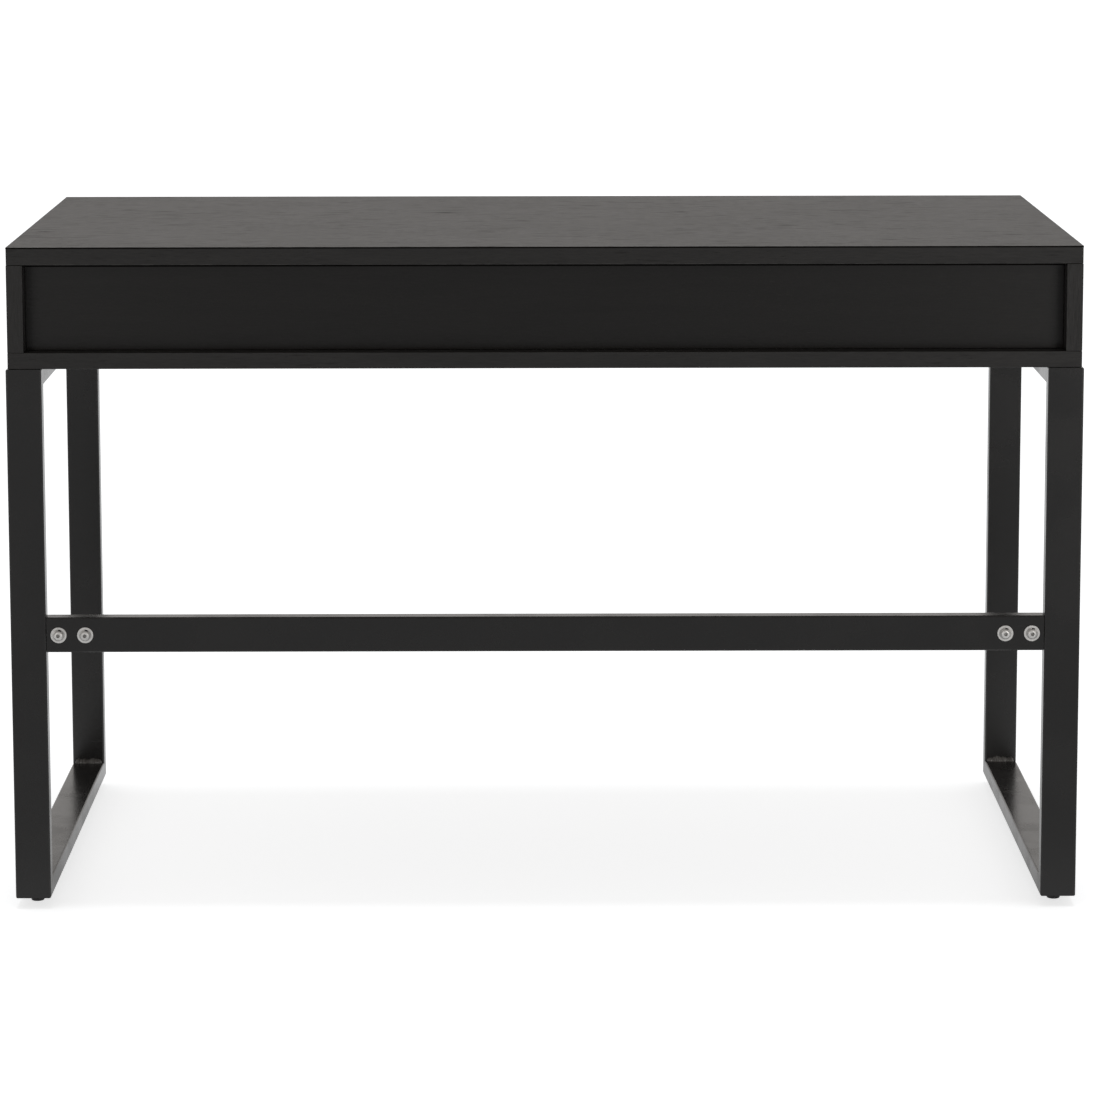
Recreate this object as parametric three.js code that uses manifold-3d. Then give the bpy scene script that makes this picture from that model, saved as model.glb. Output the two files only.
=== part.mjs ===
// Writing desk with two drawers: a board case on two welded tube side frames, joined by a bolted stretcher.
// Millimetres, +Z up. X runs along the desk's width and Y from its back to the drawer side.
// The origin is on the floor, at the centre of the footprint.
import * as THREE from "three";
import { mergeVertices } from "three/addons/utils/BufferGeometryUtils.js";
import Module from "manifold-3d";

// Overall sizes.
const DESK_HEIGHT = 756;
const CASE_WIDTH = 1200;
const CASE_DEPTH = 600;
const GAP = 0.3; // between pieces that rest on each other

// Case boards.
const TOP_THICKNESS = 20;
const BOARD_THICKNESS = 18;
const BAY_HEIGHT = 98.5; // clear height between the top and bottom boards
const BACK_THICKNESS = 15;
const BACK_RECESS = 25; // back panel set in from the case's back edges

// Side frames: rectangular steel tube, its wide face towards the desk's back and front.
const TUBE_WIDTH = 40;
const TUBE_DEPTH = 20;
const TUBE_WALL = 1.5;
const TUBE_CORNER = 2; // outer corner radius
const FRAME_PROUD_X = 2.5; // how far a frame stands out past the case's end
const FRAME_PROUD_Y = 1; // how far a frame stands out past the case's back and front
const FRAME_CLEARANCE = 12.5; // bottom rail above the floor
const MITRE_GAP = 0.15; // each tube's end stops this short of the mitre plane, along the tube

// Stretcher between the two back legs, with its fasteners.
const STRETCHER_CENTRE_Z = 317;
const STRETCHER_RECESS = 1.5; // behind the legs' back faces
const BOLT_INSETS = { outer: 14, inner: 44 }; // from the leg's inner face
const STACK_GAP = 0.1; // between bolt head, washers and tube
const BOLT_SHANK_RADIUS = 3;
const BOLT_HEAD_RADIUS = 5.25;
const BOLT_HEAD_HEIGHT = 3.3;
const BOLT_HEAD_EDGE = 0.9; // straight part of the head below its dome
const BOLT_LENGTH = 16; // below the head
const SOCKET_ACROSS_CORNERS = 4.62;
const SOCKET_DEPTH = 2;
const BOLT_HOLE_RADIUS = 3.4;
const THREAD_HOLE_RADIUS = 3.2;
const LOCK_WASHER = { inner: 3.15, outer: 6.5, thickness: 1.6, split: 1.2 };
const FLAT_WASHER = { inner: 3.25, outer: 9, thickness: 1.6 };
const TAB = { length: 60, height: 30, thickness: 3 };
const TAB_NUT = { acrossCorners: 11.5, thickness: 5 };

// Bolts that hold the case on the frames.
const FRAME_BOLT_Y = 200; // from the desk's centre, each way
const FRAME_BOLT_LENGTH = 32;
const INSERT_HOLE_DEPTH = 13.5;

// Levelling feet.
const FOOT_INSET = 41; // centre, from the frame's end face
const FOOT_RADII = { pad: 7.5, shoulder: 6.6, neck: 5.5 };
const FOOT_LEVELS = { rim: 0.8, edge: 3.4, shoulder: 4.6, neck: 5.2 }; // above the floor
const FOOT_STUD_RADIUS = 4;
const FOOT_STUD_TOP = 29.5;
const FOOT_NUT = { radius: 7, height: 8, hole: 4.3 };

// Drawers.
const REVEAL = 2; // gap round a drawer front
const FRONT_THICKNESS = 18;
const FRONT_SETBACK = 1; // behind the case's front edge
const PULL = { width: 120, depth: 20, corner: 10 }; // finger cut-out in the front's top edge
const SIDE_CLEARANCE = 13; // space for a slide beside the drawer box
const BOX_THICKNESS = 12;
const BOX_HEIGHT = 72;
const BOX_LENGTH = 470; // behind the front
const BOX_LIFT = 9.5; // box side's lower edge above the bottom board
const GROOVE = { lift: 3, height: 3.6, depth: 6 };
const BOTTOM_THICKNESS = 3;

// Ball-bearing slides, three members each: offsets run from the case wall towards the drawer box.
const SLIDE_LENGTH = 450;
const SLIDE_FRONT_CLEARANCE = 3; // behind the drawer front
const SLIDE_STEEL = 1.2;
const MIDDLE_SHORTER = 20;
const SLIDE_MEMBERS = {
  cabinet: { halfHeight: 22.5, from: 0.3, to: 9.8, web: "from" },
  middle: { halfHeight: 18.2, from: 3.4, to: 10.9, web: "from" },
  drawer: { halfHeight: 13.8, from: 5.6, to: 12.7, web: "to" },
};

const ROUND = 24; // sides of a small round piece
const HEX = 6; // sides of a nut and of a bolt's socket
const MERGE_DISTANCE = 1e-4; // points this close are one point of a solid

// Levels and faces that follow from the sizes above.
const BAY_TOP_Z = DESK_HEIGHT - TOP_THICKNESS;
const BAY_BOTTOM_Z = BAY_TOP_Z - BAY_HEIGHT;
const CASE_BOTTOM_Z = BAY_BOTTOM_Z - BOARD_THICKNESS;
const FRAME_TOP_Z = CASE_BOTTOM_Z - GAP;
const FRAME_HEIGHT = FRAME_TOP_Z - FRAME_CLEARANCE;
const FRAME_HALF_DEPTH = CASE_DEPTH / 2 + FRAME_PROUD_Y;
const FRAME_DEPTH = 2 * FRAME_HALF_DEPTH;
const FRAME_CENTRE_X = CASE_WIDTH / 2 + FRAME_PROUD_X - TUBE_WIDTH / 2;
const LEG_INNER_X = FRAME_CENTRE_X - TUBE_WIDTH / 2;
const STRETCHER_FACE_Y = -FRAME_HALF_DEPTH + STRETCHER_RECESS;
const PARTITION_HALF = BOARD_THICKNESS / 2;
const INNER_HALF_WIDTH = CASE_WIDTH / 2 - BOARD_THICKNESS;
const BAY_WIDTH = INNER_HALF_WIDTH - PARTITION_HALF;
const BAY_CENTRE_X = (INNER_HALF_WIDTH + PARTITION_HALF) / 2;
const BACK_INNER_Y = -CASE_DEPTH / 2 + BACK_RECESS + BACK_THICKNESS;
const FRONT_FACE_Y = CASE_DEPTH / 2 - FRONT_SETBACK;
const FRONT_REAR_Y = FRONT_FACE_Y - FRONT_THICKNESS;
const BOX_WIDTH = BAY_WIDTH - 2 * SIDE_CLEARANCE;
const BOX_BOTTOM_Z = BAY_BOTTOM_Z + BOX_LIFT;
const SLIDE_CENTRE_Z = BOX_BOTTOM_Z + BOX_HEIGHT / 2;
const SLIDE_FRONT_Y = FRONT_REAR_Y - SLIDE_FRONT_CLEARANCE;
const FASTENER_STACK = FLAT_WASHER.thickness + LOCK_WASHER.thickness + BOLT_HEAD_HEIGHT + 3 * STACK_GAP;
// The bolt heads stand out past the legs at the back, so the desk is moved to keep the origin central.
const CENTRING_SHIFT = (FASTENER_STACK - STRETCHER_RECESS) / 2;

const FINISHES = {
  case_laminate: { color: 0x2b2a29, roughness: 0.55, metalness: 0 },
  powder_coat: { color: 0x242322, roughness: 0.4, metalness: 0.2 },
  zinc: { color: 0xc8c7c2, roughness: 0.3, metalness: 1 },
  slide_zinc: { color: 0xb4b6b8, roughness: 0.35, metalness: 1 },
  drawer_board: { color: 0x3b3835, roughness: 0.6, metalness: 0 },
  foot_plastic: { color: 0x1b1b1b, roughness: 0.5, metalness: 0 },
};

const wasm = await Module();
wasm.setup();

// A closed geometry as a solid that can be joined and cut.
function solidOf(geometry) {
  const bare = geometry.clone();
  bare.deleteAttribute("normal");
  bare.deleteAttribute("uv");
  const merged = mergeVertices(bare, MERGE_DISTANCE);
  const vertProperties = new Float32Array(merged.attributes.position.array);
  const triVerts = new Uint32Array(merged.index.array);
  return new wasm.Manifold(new wasm.Mesh({ numProp: 3, vertProperties, triVerts }));
}

function geometryOf(solid) {
  const { vertProperties, triVerts, numProp } = solid.getMesh();
  const positions = new Float32Array((vertProperties.length / numProp) * 3);
  for (let i = 0; i < positions.length / 3; i += 1) {
    positions.set(vertProperties.subarray(i * numProp, i * numProp + 3), i * 3);
  }
  const geometry = new THREE.BufferGeometry();
  geometry.setAttribute("position", new THREE.BufferAttribute(positions, 3));
  geometry.setIndex(new THREE.BufferAttribute(new Uint32Array(triVerts), 1));
  geometry.computeVertexNormals();
  return geometry;
}

function cut(geometry, cutters) {
  const whole = solidOf(geometry);
  return geometryOf(cutters.reduce((solid, cutter) => solid.subtract(solidOf(cutter)), whole));
}

function join(geometry, others) {
  return geometryOf(others.reduce((solid, other) => solid.add(solidOf(other)), solidOf(geometry)));
}

// A block between two corners.
function block(low, high) {
  const size = low.map((value, i) => high[i] - value);
  const centre = low.map((value, i) => (value + high[i]) / 2);
  return new THREE.BoxGeometry(...size).translate(...centre);
}

// A rod along Y from one level to another.
function rodY(radius, x, z, fromY, toY, sides = ROUND) {
  const rod = new THREE.CylinderGeometry(radius, radius, toY - fromY, sides);
  return rod.translate(x, (fromY + toY) / 2, z);
}

function mesh(name, geometry, finish) {
  const piece = new THREE.Mesh(geometry, new THREE.MeshStandardMaterial(FINISHES[finish]));
  piece.name = name;
  return piece;
}

// The tube's section: its wide side centred along X, its depth from Y = 0 (outer face) inwards.
function tubeSection() {
  const half = TUBE_WIDTH / 2;
  const r = TUBE_CORNER;
  const outline = new THREE.Shape();
  outline.moveTo(-half + r, 0);
  outline.lineTo(half - r, 0);
  outline.absarc(half - r, r, r, -Math.PI / 2, 0);
  outline.lineTo(half, TUBE_DEPTH - r);
  outline.absarc(half - r, TUBE_DEPTH - r, r, 0, Math.PI / 2);
  outline.lineTo(-half + r, TUBE_DEPTH);
  outline.absarc(-half + r, TUBE_DEPTH - r, r, Math.PI / 2, Math.PI);
  outline.lineTo(-half, r);
  outline.absarc(-half + r, r, r, Math.PI, 1.5 * Math.PI);
  const bore = new THREE.Path();
  bore.moveTo(-half + TUBE_WALL, TUBE_WALL);
  bore.lineTo(-half + TUBE_WALL, TUBE_DEPTH - TUBE_WALL);
  bore.lineTo(half - TUBE_WALL, TUBE_DEPTH - TUBE_WALL);
  bore.lineTo(half - TUBE_WALL, TUBE_WALL);
  outline.holes.push(bore);
  return outline;
}

function straightTube(length) {
  return new THREE.ExtrudeGeometry(tubeSection(), { depth: length, bevelEnabled: false, curveSegments: 3 });
}

// A tube along Z whose two ends are cut at 45 degrees, its full length along the outer face.
function mitredTube(length) {
  const tube = straightTube(length);
  const position = tube.attributes.position;
  for (let i = 0; i < position.count; i += 1) {
    const setIn = position.getY(i) + MITRE_GAP;
    position.setZ(i, position.getZ(i) > length / 2 ? length - setIn : setIn);
  }
  return tube;
}

function caseBoards() {
  const halfWidth = CASE_WIDTH / 2;
  const halfDepth = CASE_DEPTH / 2;
  const standLow = BAY_BOTTOM_Z + GAP;
  const standHigh = BAY_TOP_Z - GAP;
  const boards = [];
  const add = (name, geometry) => boards.push(mesh(name, geometry, "case_laminate"));

  add("top_board", block([-halfWidth, -halfDepth, BAY_TOP_Z], [halfWidth, halfDepth, DESK_HEIGHT]));

  const insertHoles = [];
  for (const x of [-FRAME_CENTRE_X, FRAME_CENTRE_X]) {
    for (const y of [-FRAME_BOLT_Y, FRAME_BOLT_Y]) {
      const hole = rodY(BOLT_HOLE_RADIUS, 0, 0, -INSERT_HOLE_DEPTH, INSERT_HOLE_DEPTH);
      insertHoles.push(hole.rotateX(Math.PI / 2).translate(x, y, CASE_BOTTOM_Z));
    }
  }
  const lowerBoard = block([-halfWidth, -halfDepth, CASE_BOTTOM_Z], [halfWidth, halfDepth, BAY_BOTTOM_Z]);
  add("bottom_board", cut(lowerBoard, insertHoles));

  for (const [side, from, to] of [
    ["left", -halfWidth, -INNER_HALF_WIDTH],
    ["right", INNER_HALF_WIDTH, halfWidth],
  ]) {
    add(side + "_side_panel", block([from, -halfDepth, standLow], [to, halfDepth, standHigh]));
  }
  const backHalf = INNER_HALF_WIDTH - GAP;
  add(
    "back_panel",
    block([-backHalf, -halfDepth + BACK_RECESS, standLow], [backHalf, BACK_INNER_Y, standHigh]),
  );
  add(
    "centre_partition",
    block([-PARTITION_HALF, BACK_INNER_Y + GAP, standLow], [PARTITION_HALF, FRONT_FACE_Y, standHigh]),
  );
  return boards;
}

// One welded side frame: two legs and two rails with mitred corners.
function sideFrame(side, centreX) {
  const leg = mitredTube(FRAME_HEIGHT);
  const backLeg = mesh(side + "_back_leg", leg, "powder_coat");
  backLeg.position.set(centreX, -FRAME_HALF_DEPTH, FRAME_CLEARANCE);
  const frontLeg = mesh(side + "_front_leg", leg.clone(), "powder_coat");
  frontLeg.rotation.z = Math.PI;
  frontLeg.position.set(centreX, FRAME_HALF_DEPTH, FRAME_CLEARANCE);

  // The bottom rail carries a welded nut over each foot.
  const footPlaces = [FOOT_INSET, FRAME_DEPTH - FOOT_INSET];
  const nutFrom = TUBE_WALL / 2;
  const nutTo = TUBE_WALL + FOOT_NUT.height;
  const nuts = footPlaces.map((z) => rodY(FOOT_NUT.radius, 0, z, nutFrom, nutTo));
  const studHoles = footPlaces.map((z) => rodY(FOOT_NUT.hole, 0, z, -TUBE_WALL, nutTo + TUBE_WALL));
  const bottomTube = cut(join(mitredTube(FRAME_DEPTH), nuts), studHoles);
  const bottomRail = mesh(side + "_bottom_rail", bottomTube, "powder_coat");
  bottomRail.rotation.x = Math.PI / 2;
  bottomRail.position.set(centreX, FRAME_HALF_DEPTH, FRAME_CLEARANCE);

  const boltPlaces = [FRAME_HALF_DEPTH - FRAME_BOLT_Y, FRAME_HALF_DEPTH + FRAME_BOLT_Y];
  const pastTube = TUBE_DEPTH + TUBE_WALL;
  const boltHoles = boltPlaces.map((z) => rodY(BOLT_HOLE_RADIUS, 0, z, -TUBE_WALL, pastTube));
  const topRail = mesh(side + "_top_rail", cut(mitredTube(FRAME_DEPTH), boltHoles), "powder_coat");
  topRail.rotation.x = -Math.PI / 2;
  topRail.position.set(centreX, -FRAME_HALF_DEPTH, FRAME_TOP_Z);
  return [backLeg, frontLeg, bottomRail, topRail];
}

// A button-head bolt, head up along +Y, the underside of its head at Y = 0.
function bolt(length) {
  const dome = BOLT_HEAD_HEIGHT - BOLT_HEAD_EDGE;
  const crown = BOLT_HEAD_RADIUS / 2;
  const profile = [new THREE.Vector2(0, -length), new THREE.Vector2(BOLT_SHANK_RADIUS, -length)];
  profile.push(new THREE.Vector2(BOLT_SHANK_RADIUS, 0), new THREE.Vector2(BOLT_HEAD_RADIUS, 0));
  const domeSteps = 4;
  for (let i = 0; i <= domeSteps; i += 1) {
    const angle = (i / domeSteps) * (Math.PI / 2);
    const radius = crown + (BOLT_HEAD_RADIUS - crown) * Math.cos(angle);
    profile.push(new THREE.Vector2(radius, BOLT_HEAD_EDGE + dome * Math.sin(angle)));
  }
  profile.push(new THREE.Vector2(0, BOLT_HEAD_HEIGHT));
  const blank = new THREE.LatheGeometry(profile, ROUND);
  const socketFrom = BOLT_HEAD_HEIGHT - SOCKET_DEPTH;
  const socket = rodY(SOCKET_ACROSS_CORNERS / 2, 0, 0, socketFrom, BOLT_HEAD_HEIGHT + SOCKET_DEPTH, HEX);
  return cut(blank, [socket]);
}

// A flat ring along +Y from Y = 0.
function washer({ inner, outer, thickness }) {
  const profile = [
    new THREE.Vector2(inner, 0),
    new THREE.Vector2(outer, 0),
    new THREE.Vector2(outer, thickness),
    new THREE.Vector2(inner, thickness),
    new THREE.Vector2(inner, 0),
  ];
  return new THREE.LatheGeometry(profile, ROUND);
}

// A split ring: the gap is left open towards +Z.
function lockWasher() {
  const { outer, thickness, split } = LOCK_WASHER;
  const slot = block([-split / 2, -thickness, 0], [split / 2, 2 * thickness, 2 * outer]);
  return cut(washer(LOCK_WASHER), [slot]);
}

// The stretcher and, at each end, the leg's welded tab inside it and two bolts with their washers.
function stretcherAndFasteners() {
  const pieces = [];
  const halfLength = LEG_INNER_X - GAP;
  const holes = [];
  for (const inset of Object.values(BOLT_INSETS)) {
    for (const z of [inset - GAP, 2 * halfLength - inset + GAP]) {
      holes.push(rodY(BOLT_HOLE_RADIUS, 0, z, -TUBE_WALL, 2 * TUBE_WALL));
    }
  }
  const stretcher = mesh("stretcher", cut(straightTube(2 * halfLength), holes), "powder_coat");
  stretcher.rotation.y = Math.PI / 2;
  stretcher.position.set(-halfLength, STRETCHER_FACE_Y, STRETCHER_CENTRE_Z);
  pieces.push(stretcher);

  const tabFaceY = STRETCHER_FACE_Y + TUBE_WALL + GAP;
  const tabRearY = tabFaceY + TAB.thickness;
  const tabOverlap = TAB.thickness / 2; // depth of the nut's weld into the tab
  for (const [side, sign] of [["left", -1], ["right", 1]]) {
    const boltXs = Object.values(BOLT_INSETS).map((inset) => sign * (LEG_INNER_X - inset));
    const ends = [sign * (halfLength - TAB.length), sign * halfLength].sort((a, b) => a - b);
    const plate = block(
      [ends[0], tabFaceY, STRETCHER_CENTRE_Z - TAB.height / 2],
      [ends[1], tabRearY, STRETCHER_CENTRE_Z + TAB.height / 2],
    );
    const nutRadius = TAB_NUT.acrossCorners / 2;
    const nutRearY = tabRearY + TAB_NUT.thickness;
    const nutFrontY = tabRearY - tabOverlap;
    const threadFrom = tabFaceY - TAB.thickness;
    const threadTo = nutRearY + TAB.thickness;
    const nuts = boltXs.map((x) => rodY(nutRadius, x, STRETCHER_CENTRE_Z, nutFrontY, nutRearY, HEX));
    const threads = boltXs.map((x) =>
      rodY(THREAD_HOLE_RADIUS, x, STRETCHER_CENTRE_Z, threadFrom, threadTo),
    );
    pieces.push(mesh(side + "_stretcher_tab", cut(join(plate, nuts), threads), "powder_coat"));

    for (const [place, inset] of Object.entries(BOLT_INSETS)) {
      const x = sign * (LEG_INNER_X - inset);
      const stack = [
        ["flat_washer", washer(FLAT_WASHER), FLAT_WASHER.thickness],
        ["lock_washer", lockWasher(), LOCK_WASHER.thickness],
        ["bolt", bolt(BOLT_LENGTH), 0],
      ];
      let faceY = STRETCHER_FACE_Y - STACK_GAP;
      for (const [piece, geometry, thickness] of stack) {
        const part = mesh(side + "_" + place + "_" + piece, geometry, "zinc");
        part.rotation.x = Math.PI;
        part.position.set(x, faceY, STRETCHER_CENTRE_Z);
        pieces.push(part);
        faceY -= thickness + STACK_GAP;
      }
    }
  }
  return pieces;
}

function frameBolts() {
  const bolts = [];
  const headZ = FRAME_TOP_Z - TUBE_DEPTH - STACK_GAP;
  for (const [side, x] of [["left", -FRAME_CENTRE_X], ["right", FRAME_CENTRE_X]]) {
    for (const [place, y] of [["back", -FRAME_BOLT_Y], ["front", FRAME_BOLT_Y]]) {
      const piece = mesh(side + "_frame_" + place + "_bolt", bolt(FRAME_BOLT_LENGTH), "zinc");
      piece.rotation.x = -Math.PI / 2;
      piece.position.set(x, y, headZ);
      bolts.push(piece);
    }
  }
  return bolts;
}

// A levelling foot along +Y from the floor: pad, neck and stud.
function footGeometry() {
  const neckTop = FRAME_CLEARANCE - GAP;
  const points = [
    [0, 0],
    [FOOT_RADII.pad - FOOT_LEVELS.rim, 0],
    [FOOT_RADII.pad, FOOT_LEVELS.rim],
    [FOOT_RADII.pad, FOOT_LEVELS.edge],
    [FOOT_RADII.shoulder, FOOT_LEVELS.shoulder],
    [FOOT_RADII.neck, FOOT_LEVELS.neck],
    [FOOT_RADII.neck, neckTop],
    [FOOT_STUD_RADIUS, neckTop],
    [FOOT_STUD_RADIUS, FOOT_STUD_TOP],
    [0, FOOT_STUD_TOP],
  ];
  const profile = points.map(([radius, height]) => new THREE.Vector2(radius, height));
  return new THREE.LatheGeometry(profile, ROUND);
}

function feet() {
  const pieces = [];
  const footY = FRAME_HALF_DEPTH - FOOT_INSET;
  for (const [side, x] of [["left", -FRAME_CENTRE_X], ["right", FRAME_CENTRE_X]]) {
    for (const [place, y] of [["back", -footY], ["front", footY]]) {
      const piece = mesh(side + "_" + place + "_foot", footGeometry(), "foot_plastic");
      piece.rotation.x = Math.PI / 2;
      piece.position.set(x, y, 0);
      pieces.push(piece);
    }
  }
  return pieces;
}

// The drawer front's outline, with the finger cut-out in its top edge, centred on X.
function frontOutline(width, height) {
  const half = width / 2;
  const pullHalf = PULL.width / 2;
  const r = PULL.corner;
  const pullBottom = height - PULL.depth;
  const outline = new THREE.Shape();
  outline.moveTo(-half, 0);
  outline.lineTo(half, 0);
  outline.lineTo(half, height);
  outline.lineTo(pullHalf, height);
  outline.lineTo(pullHalf, pullBottom + r);
  outline.absarc(pullHalf - r, pullBottom + r, r, 0, -Math.PI / 2, true);
  outline.lineTo(-pullHalf + r, pullBottom);
  outline.absarc(-pullHalf + r, pullBottom + r, r, -Math.PI / 2, -Math.PI, true);
  outline.lineTo(-pullHalf, height);
  outline.lineTo(-half, height);
  return outline;
}

// The section of a C-shaped slide member: offset from the wall along X, height along Y.
function slideSection({ halfHeight, from, to, web }) {
  const t = SLIDE_STEEL;
  const [back, lip] = web === "from" ? [from, to] : [to, from];
  const inward = Math.sign(lip - back) * t;
  const section = new THREE.Shape();
  section.moveTo(back, -halfHeight);
  section.lineTo(lip, -halfHeight);
  section.lineTo(lip, -halfHeight + t);
  section.lineTo(back + inward, -halfHeight + t);
  section.lineTo(back + inward, halfHeight - t);
  section.lineTo(lip, halfHeight - t);
  section.lineTo(lip, halfHeight);
  section.lineTo(back, halfHeight);
  return section;
}

// A slide member along Y. away is +1 where the drawer lies towards +X of the wall at wallX, and -1
// where it lies towards -X.
function slideMember(kind, wallX, away) {
  const length = kind === "middle" ? SLIDE_LENGTH - MIDDLE_SHORTER : SLIDE_LENGTH;
  const member = new THREE.ExtrudeGeometry(slideSection(SLIDE_MEMBERS[kind]), {
    depth: length,
    bevelEnabled: false,
  });
  member.rotateX(Math.PI / 2);
  if (away < 0) {
    member.rotateZ(Math.PI).translate(0, -length, 0);
  }
  const frontY = SLIDE_FRONT_Y - (SLIDE_LENGTH - length) / 2;
  return member.translate(wallX, frontY, SLIDE_CENTRE_Z);
}

// One drawer with its box and its two slides, in the bay centred on centreX.
function drawer(side, centreX) {
  const pieces = [];
  const add = (name, geometry, finish) => pieces.push(mesh(side + "_drawer_" + name, geometry, finish));
  const outer = BOX_WIDTH / 2;
  const inner = outer - BOX_THICKNESS;
  const boxTopZ = BOX_BOTTOM_Z + BOX_HEIGHT;
  const boxRearY = FRONT_REAR_Y - BOX_LENGTH;
  const grooveLow = BOX_BOTTOM_Z + GROOVE.lift;
  const grooveHigh = grooveLow + GROOVE.height;
  const grooveHalf = inner + GROOVE.depth;

  const frontWidth = BAY_WIDTH - 2 * REVEAL;
  const frontHeight = BAY_HEIGHT - 2 * REVEAL;
  const face = new THREE.ExtrudeGeometry(frontOutline(frontWidth, frontHeight), {
    depth: FRONT_THICKNESS,
    bevelEnabled: false,
    curveSegments: 6,
  });
  face.rotateX(Math.PI / 2).translate(centreX, FRONT_FACE_Y, BAY_BOTTOM_Z + REVEAL);
  const frontGroove = block(
    [centreX - grooveHalf, FRONT_REAR_Y - GROOVE.depth, grooveLow],
    [centreX + grooveHalf, FRONT_REAR_Y + GROOVE.depth, grooveHigh],
  );
  add("front", cut(face, [frontGroove]), "case_laminate");

  for (const [name, sign] of [["left_side", -1], ["right_side", 1]]) {
    const xs = [centreX + sign * inner, centreX + sign * outer].sort((a, b) => a - b);
    const groove = block(
      [centreX - grooveHalf, boxRearY - GROOVE.depth, grooveLow],
      [centreX + grooveHalf, FRONT_REAR_Y, grooveHigh],
    );
    const board = block([xs[0], boxRearY, BOX_BOTTOM_Z], [xs[1], FRONT_REAR_Y - GAP, boxTopZ]);
    add(name, cut(board, [groove]), "drawer_board");
  }

  const backHalf = inner - GAP;
  add(
    "back",
    block(
      [centreX - backHalf, boxRearY, grooveHigh],
      [centreX + backHalf, boxRearY + BOX_THICKNESS, boxTopZ],
    ),
    "drawer_board",
  );
  const panelHalf = grooveHalf - GAP;
  const panelLow = grooveLow + GAP;
  add(
    "bottom",
    block(
      [centreX - panelHalf, boxRearY, panelLow],
      [centreX + panelHalf, FRONT_REAR_Y + GROOVE.depth - GAP, panelLow + BOTTOM_THICKNESS],
    ),
    "drawer_board",
  );

  for (const [place, away] of [["left", 1], ["right", -1]]) {
    const wallX = centreX - (away * BAY_WIDTH) / 2;
    for (const kind of Object.keys(SLIDE_MEMBERS)) {
      add(place + "_slide_" + kind, slideMember(kind, wallX, away), "slide_zinc");
    }
  }
  return pieces;
}

const desk = new THREE.Group();
desk.add(...caseBoards());
desk.add(...sideFrame("left", -FRAME_CENTRE_X), ...sideFrame("right", FRAME_CENTRE_X));
desk.add(...stretcherAndFasteners(), ...frameBolts(), ...feet());
desk.add(...drawer("left", -BAY_CENTRE_X), ...drawer("right", BAY_CENTRE_X));
desk.position.y = CENTRING_SHIFT;

const part = new THREE.Group();
part.add(desk);

export default part;
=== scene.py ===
"""Looks of a writing desk with two drawers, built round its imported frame.

The desk is a shallow board case on two welded side frames of steel tube. A bolted stretcher joins the back
legs, two drawers run on ball-bearing slides and open towards +Y, and four levelling feet stand on the floor.
Metres, +Z up.
"""

import logging
import math
from collections.abc import Sequence
from dataclasses import dataclass
from enum import Enum

import bmesh
import bpy
from mathutils import Matrix, Vector


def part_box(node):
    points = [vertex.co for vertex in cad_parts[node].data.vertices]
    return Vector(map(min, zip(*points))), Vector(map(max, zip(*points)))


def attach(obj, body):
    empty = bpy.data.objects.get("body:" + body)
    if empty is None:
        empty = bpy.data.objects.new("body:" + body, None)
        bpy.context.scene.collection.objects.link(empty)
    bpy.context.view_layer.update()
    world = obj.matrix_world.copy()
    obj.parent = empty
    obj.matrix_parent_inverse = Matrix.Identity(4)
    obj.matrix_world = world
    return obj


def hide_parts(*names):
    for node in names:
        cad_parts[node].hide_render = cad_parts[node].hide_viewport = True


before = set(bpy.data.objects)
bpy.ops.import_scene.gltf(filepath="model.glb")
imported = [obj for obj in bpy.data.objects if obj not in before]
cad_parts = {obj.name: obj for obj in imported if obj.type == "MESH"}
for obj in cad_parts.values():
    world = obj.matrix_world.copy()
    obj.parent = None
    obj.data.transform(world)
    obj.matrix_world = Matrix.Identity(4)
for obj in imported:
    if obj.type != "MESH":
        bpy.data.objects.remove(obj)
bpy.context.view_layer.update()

MM = 0.001
TINY = 1e-6
SHARP_ANGLE = math.radians(40)  # two faces that meet more sharply than this keep a crisp edge
WORN = "worn"  # corner attribute: 1 on the rounded edges, where handling shows; 2.2 on the top board's lower round, where the lighter band it gives is a painted highlight
LOG = logging.getLogger("desk")

Colour = tuple[float, float, float]


class Axis(Enum):
    """An axis of the desk's frame."""

    X = 0
    Y = 1
    Z = 2

    @property
    def vector(self) -> Vector:
        """The axis as a unit vector."""
        return Vector([float(i == self.value) for i in range(3)])


class Side(Enum):
    """The desk's left or right, with its sign along X."""

    LEFT = -1
    RIGHT = 1

    @property
    def label(self) -> str:
        """The side's word in node names."""
        return self.name.lower()


class Place(Enum):
    """The desk's back or front, with its sign along Y."""

    BACK = -1
    FRONT = 1

    @property
    def label(self) -> str:
        """The place's word in node names."""
        return self.name.lower()


class Face(Enum):
    """A side of a board, as its axis and sign."""

    BACK = (Axis.Y, -1)
    FRONT = (Axis.Y, 1)
    LEFT = (Axis.X, -1)
    RIGHT = (Axis.X, 1)
    UNDER = (Axis.Z, -1)
    TOP = (Axis.Z, 1)


# ---------------------------------------------------------------------------------------------- shader graphs


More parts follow.
